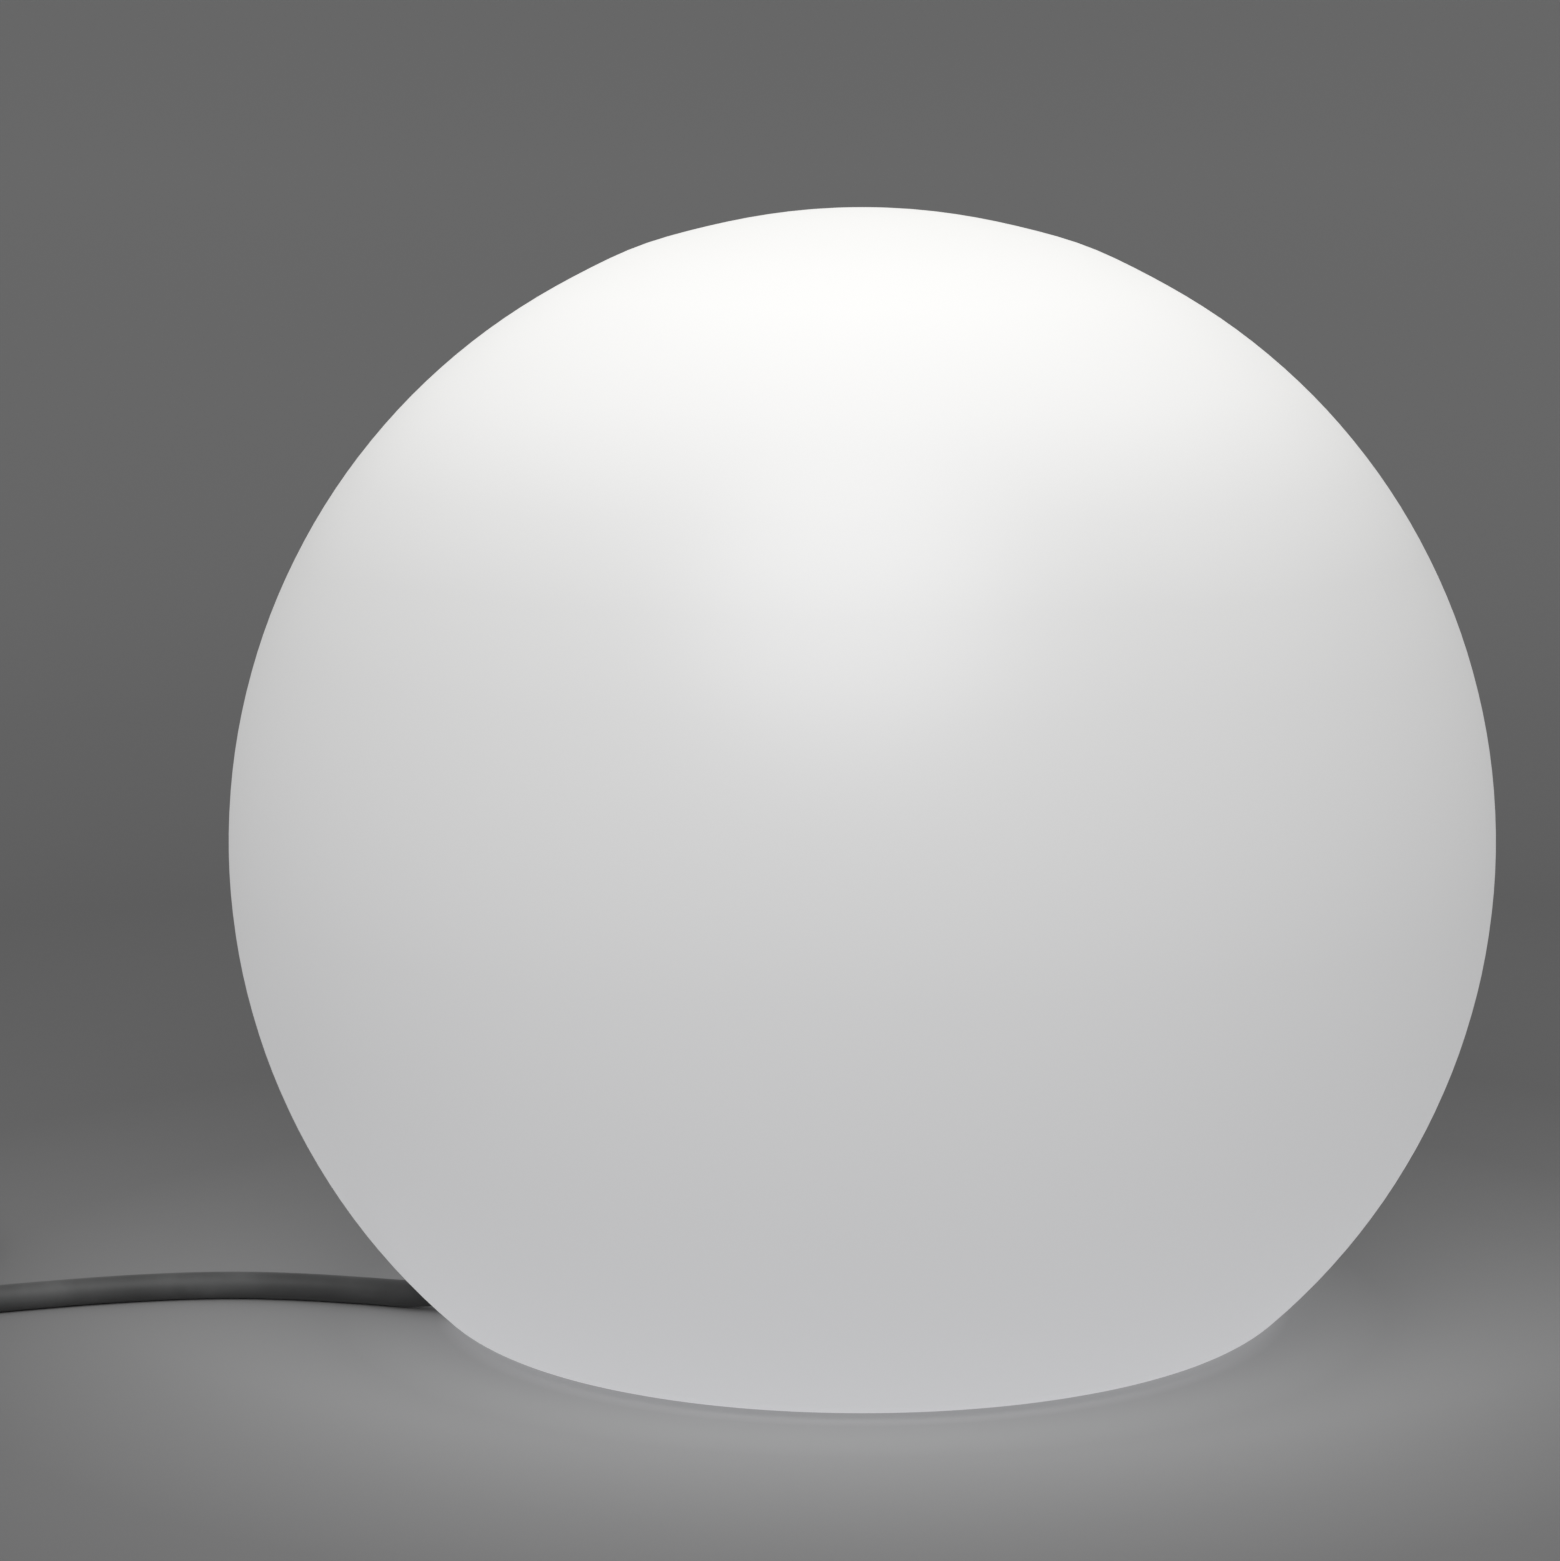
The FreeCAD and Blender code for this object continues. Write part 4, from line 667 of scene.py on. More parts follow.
def boolean(piece: Piece, tool: Piece, operation: str) -> None:
    """Adds, takes away or intersects a tool, which is then deleted.

    Args:
        piece: The piece.
        tool: The tool.
        operation: UNION, DIFFERENCE or INTERSECT.
    """
    modify(piece, "BOOLEAN", operation=operation, object=tool, solver="EXACT")
    pick(tool)
    bpy.ops.object.delete()


def twin(node: str) -> Piece:
    """A copy of a CAD piece with its doubles merged.

    Args:
        node: The CAD piece.

    Returns:
        The copy.
    """
    piece = duplicate(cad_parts[node], node + "_piece")
    piece.parent = None
    edit(piece)
    bpy.ops.mesh.remove_doubles(threshold=MERGE)
    close()
    return piece


def copied(node: str, width: float) -> Piece:
    """A copy of a CAD piece with its flats made whole and its edges rounded.

    Args:
        node: The CAD piece.
        width: How wide its edges are rounded, in metres.

    Returns:
        The copy.
    """
    piece = twin(node)
    edit(piece)
    bpy.ops.mesh.dissolve_limited(angle_limit=FLAT_ANGLE)
    close()
    modify(piece, "BEVEL", width=width, segments=2, limit_method="ANGLE", angle_limit=BEVEL_ANGLE,
           use_clamp_overlap=False)
    return piece


def finished(piece: Piece, finish: Finish, body: Body, *nodes: str) -> Piece:
    """Smooths and dresses a piece, puts it on its body and lets it stand for its CAD nodes.

    Args:
        piece: The piece, in place.
        finish: What it is made of.
        body: What it rides on.
        nodes: The CAD nodes that it stands for.

    Returns:
        The same piece.
    """
    if piece.type == "MESH":
        pick(piece)
        bpy.ops.object.shade_smooth_by_angle(angle=SMOOTH_ANGLE)
        modify(piece, "WEIGHTED_NORMAL", keep_sharp=True)
    piece.data.materials.clear()
    piece.data.materials.append(material(finish))
    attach(piece, body.value)
    if nodes:
        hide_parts(*nodes)
    LOG.info("%s: %s, stands for %s", piece.name, finish.slot, ", ".join(nodes) or "nothing")
    return piece


def softened(finish: Finish, body: Body, width: float, *nodes: str) -> None:
    """Gives CAD nodes rounded edges and a finish.

    Args:
        finish: The finish.
        body: The body that they ride on.
        width: How wide their edges are rounded, in metres.
        nodes: The nodes.
    """
    for name in nodes:
        finished(copied(name, width), finish, body, name)


def smoothed(finish: Finish, body: Body, *nodes: str) -> None:
    """Gives CAD nodes that are round already a smooth copy and a finish."""
    for name in nodes:
        finished(twin(name), finish, body, name)


def middle(piece: Piece) -> tuple[Vector, Vector]:
    """Where a piece's box lies.

    Args:
        piece: The piece.

    Returns:
        The box's middle and its half size.
    """
    corners = [Vector(corner) for corner in piece.bound_box]
    low = Vector(min(c[i] for c in corners) for i in range(3))
    high = Vector(max(c[i] for c in corners) for i in range(3))
    return (low + high) / 2, (high - low) / 2


def axis(node: str) -> Vector:
    """The point of the Z axis at the height of a CAD piece's middle."""
    return Vector((0, 0, middle(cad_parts[node])[0].z))


def duplicate(piece: Piece, name: str) -> Piece:
    """A copy of a piece with its own mesh.

    Args:
        piece: The piece.
        name: The copy's name.

    Returns:
        The copy.
    """
    pick(piece)
    bpy.ops.object.duplicate()
    return added(name)


def joined(pieces: Sequence[Piece], name: str) -> Piece:
    """Makes the pieces one.

    Args:
        pieces: The pieces.
        name: The name of what they make.

    Returns:
        The one piece.
    """
    pick(*pieces)
    bpy.ops.object.join()
    return added(name)


@dataclass(frozen=True)
class Screw:
    """A pan-head screw with a cross recess.

    Attributes:
        shank: The shank's radius in metres.
        head: The head's radius.
        rise: The head's height.
        below: Whether the head is at the low end.
        rim: How much of the head's height is straight, as a share.
        point: The chamfer at the tip, as a share of the shank's radius.
        slit: The cross's length and width, as shares of the head's radius.
        steps: Steps round it.
    """

    shank: float
    head: float
    rise: float
    below: bool = False
    rim: float = 0.35
    point: float = 0.3
    slit: tuple[float, float] = (1.15, 0.26)
    steps: int = 32

    def model(self, length: float) -> Piece:
        """One screw about Z, centred on its length.

        Args:
            length: From end to end, in metres.

        Returns:
            The screw.
        """
        top = length / 2
        seat = top - self.rise
        side = seat + self.rise * self.rim
        tip = self.shank * self.point
        outline = [(0, -top), (self.shank - tip, -top), (self.shank, tip - top), (self.shank, seat)]
        outline += [(self.head, seat)]
        outline += [(self.head * x, side + (top - side) * z) for x, z in arc((0, 0), 1, 0, QUARTER, steps=8)]
        screw = lathe("screw", outline, self.steps)
        for turn in (QUARTER / 2, -QUARTER / 2):
            bpy.ops.mesh.primitive_cube_add(size=1, location=(0, 0, top), rotation=(0, 0, turn))
            slit = added("slit")
            slit.scale = (self.head * self.slit[0], self.head * self.slit[1], self.rise)
            apply_place(slit)
            boolean(screw, slit, "DIFFERENCE")
        if self.below:
            screw.rotation_euler = (math.pi, 0, 0)
            apply_place(screw)
        return screw

    def fit(self, finish: Finish, body: Body, node: str) -> None:
        """Puts a screw at each place of a node of screws.

        Args:
            finish: The finish.
            body: The body that they ride on.
            node: The node, one solid for each screw.
        """
        edit(twin(node))
        bpy.ops.mesh.separate(type="LOOSE")
        close()
        solids = list(bpy.context.selected_objects)
        boxes = [middle(solid) for solid in solids]
        pick(*solids)
        bpy.ops.object.delete()
        first = self.model(boxes[0][1].z * 2)
        copies = [first] + [duplicate(first, "screw") for _ in boxes[1:]]
        for copy, (place, _half) in zip(copies, boxes):
            copy.location = place
            apply_place(copy)
        finished(joined(copies, node + "_piece"), finish, body, node)


def ripple(piece: Piece, height: Callable[[float, float], float]) -> None:
    """Moves each corner of a turned piece away from Z.

    Args:
        piece: The piece.
        height: How far, by the corner's angle and its z.
    """
    for vertex in piece.data.vertices:
        angle = math.atan2(vertex.co.y, vertex.co.x)
        radius = math.hypot(vertex.co.x, vertex.co.y)
        if radius > MERGE:
            share = 1 + height(angle, vertex.co.z) / radius
            vertex.co.x *= share
            vertex.co.y *= share


def smooth(share: float) -> float:
    """A share from 0 to 1, eased at both ends."""
    return share * share * (3 - 2 * share)


def thread(angle: float, height: float) -> float:
    """The lamp thread's wave, from -1 to 1, at an angle and a height."""
    return math.sin(math.tau * height / THREAD_PITCH - angle)


def rows(radius: float, low: float, high: float, count: int) -> Outline:
    """Evenly spaced points of an outline, up or down a plain wall."""
    return [(radius, low + (high - low) * i / count) for i in range(count + 1)]


# ------------------------------------------------------------------ studio


@dataclass
class Studio:
    """The camera, the floor, and soft light."""

    distance: float = 1.6
    elevation: float = math.radians(10.20)
    focal_px: float = 5029.2
    centre_px: tuple[float, float] = (862.3, 840.7)  # where the globe's centre is in the picture
    aim: Vector = field(default_factory=lambda: Vector((0, 0, 0.1518)))
    reach: float = 50.0  # how far the camera sees
    floor_radius: float = 45.0
    # The pale tones near the globe are a painted pool of light; further out the floor grows lighter again.
    finish: Floor = Floor("studio_floor", (0.3, 0.3, 0.3), 0.9, tones_with_painted_pool=(
        (0.0, 0.57), (0.13, 0.57), (0.138, 0.42), (0.17, 0.30), (0.24, 0.222), (0.30, 0.172), (0.40, 0.14),
        (0.75, 0.137), (1.3, 0.176), (3.2, 0.256), (8.0, 0.30)))
    backdrop: float = 0.138
    sky: float = 0.46
    lamp_watts: float = 54.0
    lamp_size: float = 2.4
    lamp_at: Vector = field(default_factory=lambda: Vector((-0.1, -1.7, 2.2)))

    def camera(self) -> None:
        """Sets the camera where the photograph was taken from."""
        back = Vector((0, -math.cos(self.elevation), math.sin(self.elevation)))
        bpy.ops.object.camera_add(location=self.aim + back * self.distance)
        camera = added("camera")
        camera.rotation_euler = (QUARTER - self.elevation, 0, 0)
        camera.data.sensor_fit = "VERTICAL"
        camera.data.sensor_height = SENSOR
        camera.data.lens = self.focal_px * SENSOR / IMAGE_H
        camera.data.shift_x = (IMAGE_W / 2 - self.centre_px[0]) / IMAGE_H
        camera.data.shift_y = (self.centre_px[1] - IMAGE_H / 2) / IMAGE_H
        camera.data.clip_end = self.reach
        bpy.context.scene.camera = camera

    def floor(self) -> None:
        """Makes the floor."""
        deselect()
        bpy.ops.mesh.primitive_circle_add(vertices=96, radius=self.floor_radius, fill_type="TRIFAN")
        floor = added("studio_floor")
        floor.data.materials.append(material(self.finish))

    def light(self) -> None:
        """Sets the sky's level, the backdrop that shows behind everything, and the broad lamp above."""
        world = bpy.data.worlds.new("studio")
        world.use_nodes = True
        tree = Tree(world.node_tree)
        sky = world.node_tree.nodes["Background"]
        backdrop = tree.node("Background", Color=(self.backdrop,) * 3 + (1,))
        tree.feed(sky.inputs["Color"], (self.sky,) * 3 + (1,))
        ray = tree.node("LightPath").outputs
        shown = tree.math("MAXIMUM", ray["Is Camera Ray"], ray["Is Glossy Ray"])
        shown = tree.math("MAXIMUM", shown, ray["Is Transmission Ray"])
        mixed = tree.node("MixShader", Fac=shown)
        for socket, light in zip(mixed.inputs[1:], (sky, backdrop)):
            tree.feed(socket, light.outputs["Background"])
        tree.feed(world.node_tree.nodes["World Output"].inputs["Surface"], mixed.outputs["Shader"])
        bpy.context.scene.world = world
        bpy.ops.object.light_add(type="AREA", location=self.lamp_at)
        lamp = added("lamp")
        lamp.data.shape = "DISK"
        lamp.data.size = self.lamp_size
        lamp.data.energy = self.lamp_watts
        lamp.rotation_euler = (self.aim - self.lamp_at).to_track_quat("-Z", "Y").to_euler()

    def build(self) -> None:
        """Makes the studio."""
        self.camera()
        self.floor()
        self.light()
        bpy.context.scene.view_settings.view_transform = "Standard"
        LOG.info("studio: camera %.2f m away, %.1f degrees up", self.distance, math.degrees(self.elevation))


# ------------------------------------------------------------------ globe


@dataclass
class Globe:
    """The opal globe with its recess, its collar's hole and the cord's slot, and the bayonet collar."""

    wall: float = 0.004
    edge_radius: float = 0.0224
    lip_radius: float = 0.006
    recess_radius: float = 0.100
    hole_radius: float = 0.0845
    shoulder_rise: float = 0.0006
    shoulder_at: float = math.radians(20.6)
    shoulder_width: float = math.radians(4.5)
    slot_start: float = 171.7  # degrees
    slot_end: float = 188.4
    slot_inner: float = 0.0985
    slot_knee: float = 0.1196
    slot_outer: float = 0.1417
    slot_high: float = 0.01895
    slot_low: float = 0.0102
    steps: int = 192
    arc_steps: int = 76
    edge_steps: int = 10
    lip_steps: int = 6
    slot_steps: int = 24
    screw: Screw = Screw(shank=0.002, head=0.0032, rise=0.0026, below=True)

    def __post_init__(self) -> None:
        """Takes the globe's radius and heights from the frame."""
        low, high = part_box("globe_shell")
        self.radius = high.x
        self.bottom = low.z
        self.centre = high.z - high.x
        self.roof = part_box("globe_collar")[1].z
        edge_z = self.bottom + self.edge_radius
        reach = self.radius - self.edge_radius
        self.edge = (math.sqrt(reach**2 - (self.centre - edge_z) ** 2), edge_z)
        self.dip = math.atan2(self.centre - edge_z, self.edge[0])

    def skin(self, inset: float) -> Outline:
        """The outline from the crown round the ball, the edge, the flat underside and the lip.

        Args:
            inset: How far it lies inside the outer skin.

        Returns:
            The points, as far as the recess's side.
        """
        points = []
        for i in range(self.arc_steps + 1):
            polar = (QUARTER + self.dip) * i / self.arc_steps
            off = (polar - self.shoulder_at) / self.shoulder_width
            radius = self.radius - inset + self.shoulder_rise * math.exp(-off * off)
            points.append((radius * math.sin(polar), self.centre + radius * math.cos(polar)))
        lip = (self.recess_radius + self.lip_radius, self.bottom + self.lip_radius)
        points += arc(self.edge, self.edge_radius - inset, -self.dip, -QUARTER, self.edge_steps)[1:]
        return points + arc(lip, self.lip_radius - inset, -QUARTER, -2 * QUARTER, self.lip_steps)

    def slot_outline(self, grown: float) -> Outline:
        """The slot's section.

        Args:
            grown: How far it lies outside the slot.

        Returns:
            Its corners.
        """
        floor = -self.lip_radius
        return [
            (self.slot_inner, floor),
            (self.radius, floor),
            (self.radius, self.slot_low + grown),
            (self.slot_outer, self.slot_low + grown),
            (self.slot_knee, self.slot_high + grown),
            (self.slot_inner, self.slot_high + grown),
        ]

    def slot(self, name: str, grown: float) -> Piece:
        """The slot as a solid.

        Args:
            name: The solid's name.
            grown: How far it lies outside the slot.

        Returns:
            The solid.
        """
        side = math.degrees(grown / self.recess_radius)
        span = self.slot_end - self.slot_start + 2 * side
        return lathe(name, self.slot_outline(grown), self.slot_steps, self.slot_start - side, span)

    def shell(self) -> Piece:
        """The hollow globe.

        Returns:
            The globe, with its hole and its slot.
        """
        above = self.roof + self.wall
        recess = [(self.recess_radius, self.roof), (self.hole_radius, self.roof), (self.hole_radius, above)]
        recess += [(self.recess_radius + self.wall, above)]
        shell = lathe("globe", self.skin(0) + recess + self.skin(self.wall)[::-1], self.steps)
        half = self.wall / 2
        core = self.skin(half) + [(self.recess_radius + half, self.roof + half), (0, self.roof + half)]
        housing = self.slot("slot_housing", self.wall)
        boolean(housing, lathe("globe_core", core, self.steps), "INTERSECT")
        boolean(shell, housing, "UNION")
        boolean(shell, self.slot("slot_space", 0), "DIFFERENCE")
        return shell

    def build(self) -> None:
        """Makes the globe and what is screwed to it."""
        finished(self.shell(), OPAL, Body.GLOBE, "globe_shell")
        smoothed(COLLAR, Body.GLOBE, "globe_collar")
        self.screw.fit(STAINLESS, Body.GLOBE, "collar_screws")


# ------------------------------------------------------------------ base


@dataclass
class Base:
    """The moulded dish with its feet and gasket, and the cable gland."""

    edge: float = 0.0005
    sides: int = 6  # the nut's
    flat: float = 0.0095  # half the nut's width across its flats
    nut: tuple[float, float] = (0.0543, 0.0683)  # its ends, from the base's axis
    nut_dome: float = 0.006
    cord: float = CORD_RADIUS
    cut: float = 0.0255  # where its sheath is cut, from the base's axis
    exit: float = CORD_EXIT

    def gland(self) -> None:
        """The gland's body, and its nut with a domed end."""
        softened(NYLON, Body.BASE, self.edge / 2, "gland_body")
        nut = copied("gland_nut", self.edge / 2)
        corner = self.flat / math.cos(math.pi / self.sides)
        start, end = self.nut
        turn = (corner - self.nut_dome, end - self.nut_dome)
        dome = [(0, start), (corner, start)] + arc(turn, self.nut_dome, 0, QUARTER, steps=8) + [(0, end)]
        domed = laid(lathe("domed_end", dome, steps=48), Lie.GLAND, axis("gland_nut"))
        boolean(nut, domed, "INTERSECT")
        finished(nut, NYLON, Body.BASE, "gland_nut")

    def sheath(self) -> None:
        """The cord's sheath inside the base, with its cut edge softened."""
        rim = arc((self.cord - self.edge, self.cut + self.edge), self.edge, -QUARTER, 0, steps=3)
        outline = [(0, self.cut)] + rim + [(self.cord, self.exit), (0, self.exit)]
        end = lathe("cord_end_piece", outline, steps=32)
        finished(laid(end, Lie.GLAND, axis("cord_end")), CABLE, Body.BASE, "cord_end")

    def build(self) -> None:
        """Makes the base."""
        softened(BASE, Body.BASE, self.edge, "base_dish")
        softened(FOOT, Body.BASE, self.edge, "base_feet")
        softened(GASKET, Body.GASKET, self.edge, "base_gasket")
        softened(FOOT, Body.BASE, self.edge / 2, "gland_washer", "gland_seal")
        self.gland()
        self.sheath()


@dataclass
class BendGuard:
    """The tapered sleeve that the cord leaves through, with grooves that let it bend."""

    start: float = 0.0633  # from the base's axis, inside the nut
    collar_end: float = 0.06525
    nut_end: float = 0.0683
    tip: float = 0.0883
    collar_r: float = 0.00795
    neck_r: float = 0.00695
    tip_r: float = 0.00525
    bore: float = 0.0044
    rings: int = 6
    plain: float = 0.6  # the smooth end beyond the last groove, in steps
    groove: float = 0.0008
    corners: tuple[float, ...] = (0.35, 0.47, 0.77, 0.89)  # a groove's, as shares of the step
    taper: float = 0.0001  # how much narrower a groove's far side is
    round: float = 0.0005

    def outline(self) -> Outline:
        """The guard's section, drawn along its axis.

        Returns:
            Its corners.
        """
        step = (self.tip - self.nut_end) / (self.rings + self.plain)
        points = [(self.bore, self.start), (self.collar_r, self.start), (self.collar_r, self.collar_end)]
        points += [(self.neck_r, self.collar_end), (self.neck_r, self.nut_end)]
        for ring in range(self.rings):
            outer = self.neck_r + (self.tip_r - self.neck_r) * (ring + 0.5) / self.rings
            inner = outer - self.groove
            along = (self.nut_end + step * (ring + corner) for corner in self.corners)
            points += list(zip((outer, inner, inner, outer - self.taper), along))
        points += arc((self.tip_r - self.round, self.tip - self.round), self.round, 0, QUARTER, steps=4)
        return points + [(self.bore, self.tip)]

    def build(self) -> None:
        """Makes the guard."""
        guard = laid(lathe("bend_guard_piece", self.outline(), steps=48), Lie.GLAND, axis("bend_guard"))
        finished(guard, NYLON, Body.BASE, "bend_guard")


# ------------------------------------------------------------------ connection


@dataclass
class Connection:
    """The clamp, the terminal block and the wires in the well."""

    edge: float = 0.0003
    clamp_screw: Screw = Screw(shank=0.0015, head=0.003, rise=0.0015)
    block_screw: Screw = Screw(shank=0.0014, head=0.00224, rise=0.0014)

    def build(self) -> None:
        """Makes the connection."""
        softened(BASE, Body.BASE, self.edge, "clamp_bar")
        softened(TERMINAL, Body.BASE, self.edge, "terminal_block")
        softened(ZINC, Body.BASE, self.edge / 2, "terminal_screws", "earth_tag")
        self.clamp_screw.fit(STAINLESS, Body.BASE, "clamp_screws")
        self.block_screw.fit(ZINC, Body.BASE, "block_screw")
        smoothed(BRASS, Body.BASE, "terminal_sleeves")
        smoothed(CORE_BROWN, Body.BASE, "wire_live", "lead_live")
        smoothed(CORE_BLUE, Body.BASE, "wire_neutral", "lead_neutral")
        smoothed(CORE_EARTH, Body.BASE, "wire_earth", "lead_earth")


# ------------------------------------------------------------------ lampholder


@dataclass
class Lampholder:
    """The bracket, the lampholder on it and the ring at its mouth."""

    edge: float = 0.0004
    screw: Screw = Screw(shank=0.002, head=0.004, rise=0.0024)
    wall: float = 0.0025
    floor: float = 0.004
    lip: float = 0.002
    mouth: float = 0.0155
    hole: float = 0.00505
    round: float = 0.0025
    joint: float = 0.30  # where the cup's cap ends and its skirt starts, as a share of its height
    ribs: int = 36
    rib: float = 0.0007  # how much further out the skirt is
    proud: float = 0.9  # how far a rib stands out, as a share of that
    thread: float = 0.0003  # half the thread's depth
    sheet: float = 0.0005
    sheet_rows: int = 64

    def cup(self) -> Piece:
        """The moulded cup: a ribbed lower part, a joint, and a plain skirt with a rounded rim.

        Returns:
            The cup.
        """
        low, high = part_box("holder_cup")
        radius, top, base = high.x, high.z, low.z
        plain, inside = radius - self.rib, radius - self.wall
        split = base + (top - base) * self.joint
        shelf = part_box("holder_seal")[0].z - self.rib / 2
        corner, edge = self.round, self.lip / 2
        outline = [(self.hole, base)]
        outline += arc((plain - corner, base + corner), corner, -QUARTER, 0)
        outline += [(plain, split), (plain - self.rib, split + self.rib)]
        outline += [(plain - self.rib, split + self.rib * 3), (radius, split + self.rib * 4)]
        outline += arc((radius - edge, top - edge), edge, 0, QUARTER, steps=5)
        outline += [(self.mouth, top), (self.mouth, top - self.lip), (inside, top - self.lip)]
        outline += [(inside, shelf), (self.mouth, shelf), (self.mouth, shelf - self.lip)]
        outline += [(inside, shelf - self.lip), (inside, base + self.floor), (self.hole, base + self.floor)]
        cup = lathe("holder_cup_piece", outline, self.ribs * 4)

        def height(angle: float, z: float) -> float:
            """How far the ribs stand out."""
            ribbed = base + corner - MERGE < z < split + MERGE
            return self.rib * self.proud * max(math.sin(angle * self.ribs), 0) if ribbed else 0.0

        ripple(cup, height)
        return cup

    def sleeve(self) -> Piece:
        """The brass sleeve, its thread rolled into the thin sheet.

        Returns:
            The sleeve.
        """
        low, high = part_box("holder_sleeve")
        mean = high.x - self.thread
        outline = rows(mean, low.z, high.z, self.sheet_rows)
        outline += rows(mean - self.sheet + self.thread, high.z, low.z, self.sheet_rows)
        sleeve = lathe("holder_sleeve_piece", outline, steps=72)
        ripple(sleeve, lambda angle, z: self.thread * thread(angle, z - low.z))
        return sleeve

    def build(self) -> None:
        """Makes the lampholder."""
        softened(ZINC, Body.BASE, self.edge, "holder_bracket", "holder_nut")
        softened(ZINC, Body.BASE, self.edge / 2, "holder_nipple", "holder_terminals")
        self.screw.fit(ZINC, Body.BASE, "bracket_screws")
        softened(PORCELAIN, Body.BASE, self.edge, "holder_insert")
        softened(BRASS, Body.BASE, self.edge / 4, "holder_contact")
        softened(SEAL, Body.SEAL, self.edge, "holder_seal")
        finished(self.cup(), HOLDER, Body.BASE, "holder_cup")
        finished(self.sleeve(), BRASS, Body.BASE, "holder_sleeve")


# ------------------------------------------------------------------ bulb


@dataclass
class Bulb:
    """The lit bulb with its screw cap."""

    edge: float = 0.0003
    thread: float = 0.00042  # half the thread's depth
    cap_wall: float = 0.0006
    cap_rows: int = 72
    plain_end: float = 0.0042  # the part of the cap that the housing grips
    neck_radius: float = 0.014
    neck_height: float = 0.009
    shoulder_radius: float = 0.028
    flare_steps: int = 14
    dome_steps: int = 40
    flare_ease: float = 0.55  # how much of the flare is an S, and the rest a straight line
    wall: float = 0.0015

    def cap(self) -> Piece:
        """The nickel cap with its round thread.

        Returns:
            The cap.
        """
        low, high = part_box("bulb_cap")
        mean = high.x - self.thread
        threaded = high.z - self.plain_end
        outer = rows(mean, low.z, high.z, self.cap_rows)
        inner = rows(mean - self.thread - self.cap_wall, high.z, low.z, self.cap_rows)
        cap = lathe("bulb_cap_piece", outer + inner, steps=72)

        def height(angle: float, z: float) -> float:
            """How far the thread stands out, fading over half a turn at its ends."""
            fade = min(max(min(z - low.z, threaded - z) / THREAD_PITCH * 2, 0), 1.0)
            return self.thread * (fade * (thread(angle, z - low.z) + 1) - 1)

        ripple(cap, height)
        return cap

    def housing(self) -> Piece:
        """The housing: a short neck that flares smoothly up to the dome.

        Returns:
            The housing.
        """
        low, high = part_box("bulb_housing")
        neck_top = low.z + self.neck_height
        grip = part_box("bulb_cap")[1].x - self.thread * 2
        flare = []
        for i in range(self.flare_steps + 1):
            share = i / self.flare_steps
            ease = smooth(share) * self.flare_ease + share * (1 - self.flare_ease)
            radius = self.neck_radius + (self.shoulder_radius - self.neck_radius) * ease
            flare.append((radius, neck_top + (high.z - neck_top) * share))
        edge = self.edge * 2
        outline = arc((self.neck_radius - edge, low.z + edge), edge, -QUARTER, 0, steps=4) + flare
        outline += [(r - self.wall, z) for r, z in reversed(flare)]
        outline += [(grip, neck_top), (grip, low.z)]
        return lathe("bulb_housing_piece", outline, steps=96)

    def dome(self) -> Piece:
        """The opal dome: a ball cut off where it meets the housing.

        Returns:
            The dome.
        """
        low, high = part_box("bulb_dome")
        ball = high.x
        centre = (0.0, high.z - ball)
        start = math.asin((low.z - centre[1]) / ball)
        outside = arc(centre, ball, start, QUARTER, self.dome_steps)
        inside = arc(centre, ball - self.wall, QUARTER, start, self.dome_steps)
        return lathe("bulb_dome_piece", outside + inside, steps=96)

    def build(self) -> None:
        """Makes the bulb."""
        finished(self.cap(), NICKEL, Body.BULB, "bulb_cap")
        finished(self.housing(), BULB_WHITE, Body.BULB, "bulb_housing")
        finished(self.dome(), BULB_OPAL, Body.BULB, "bulb_dome")
        softened(BLACK_GLASS, Body.BULB, self.edge, "bulb_insulator")
        softened(ZINC, Body.BULB, self.edge, "bulb_tip")
        softened(BOARD, Body.BULB, self.edge, "bulb_board")
        softened(PHOSPHOR, Body.BULB, self.edge / 3, "bulb_leds")
        softened(CIRCUIT, Body.BULB, self.edge / 2, "bulb_driver")


# ------------------------------------------------------------------ cord


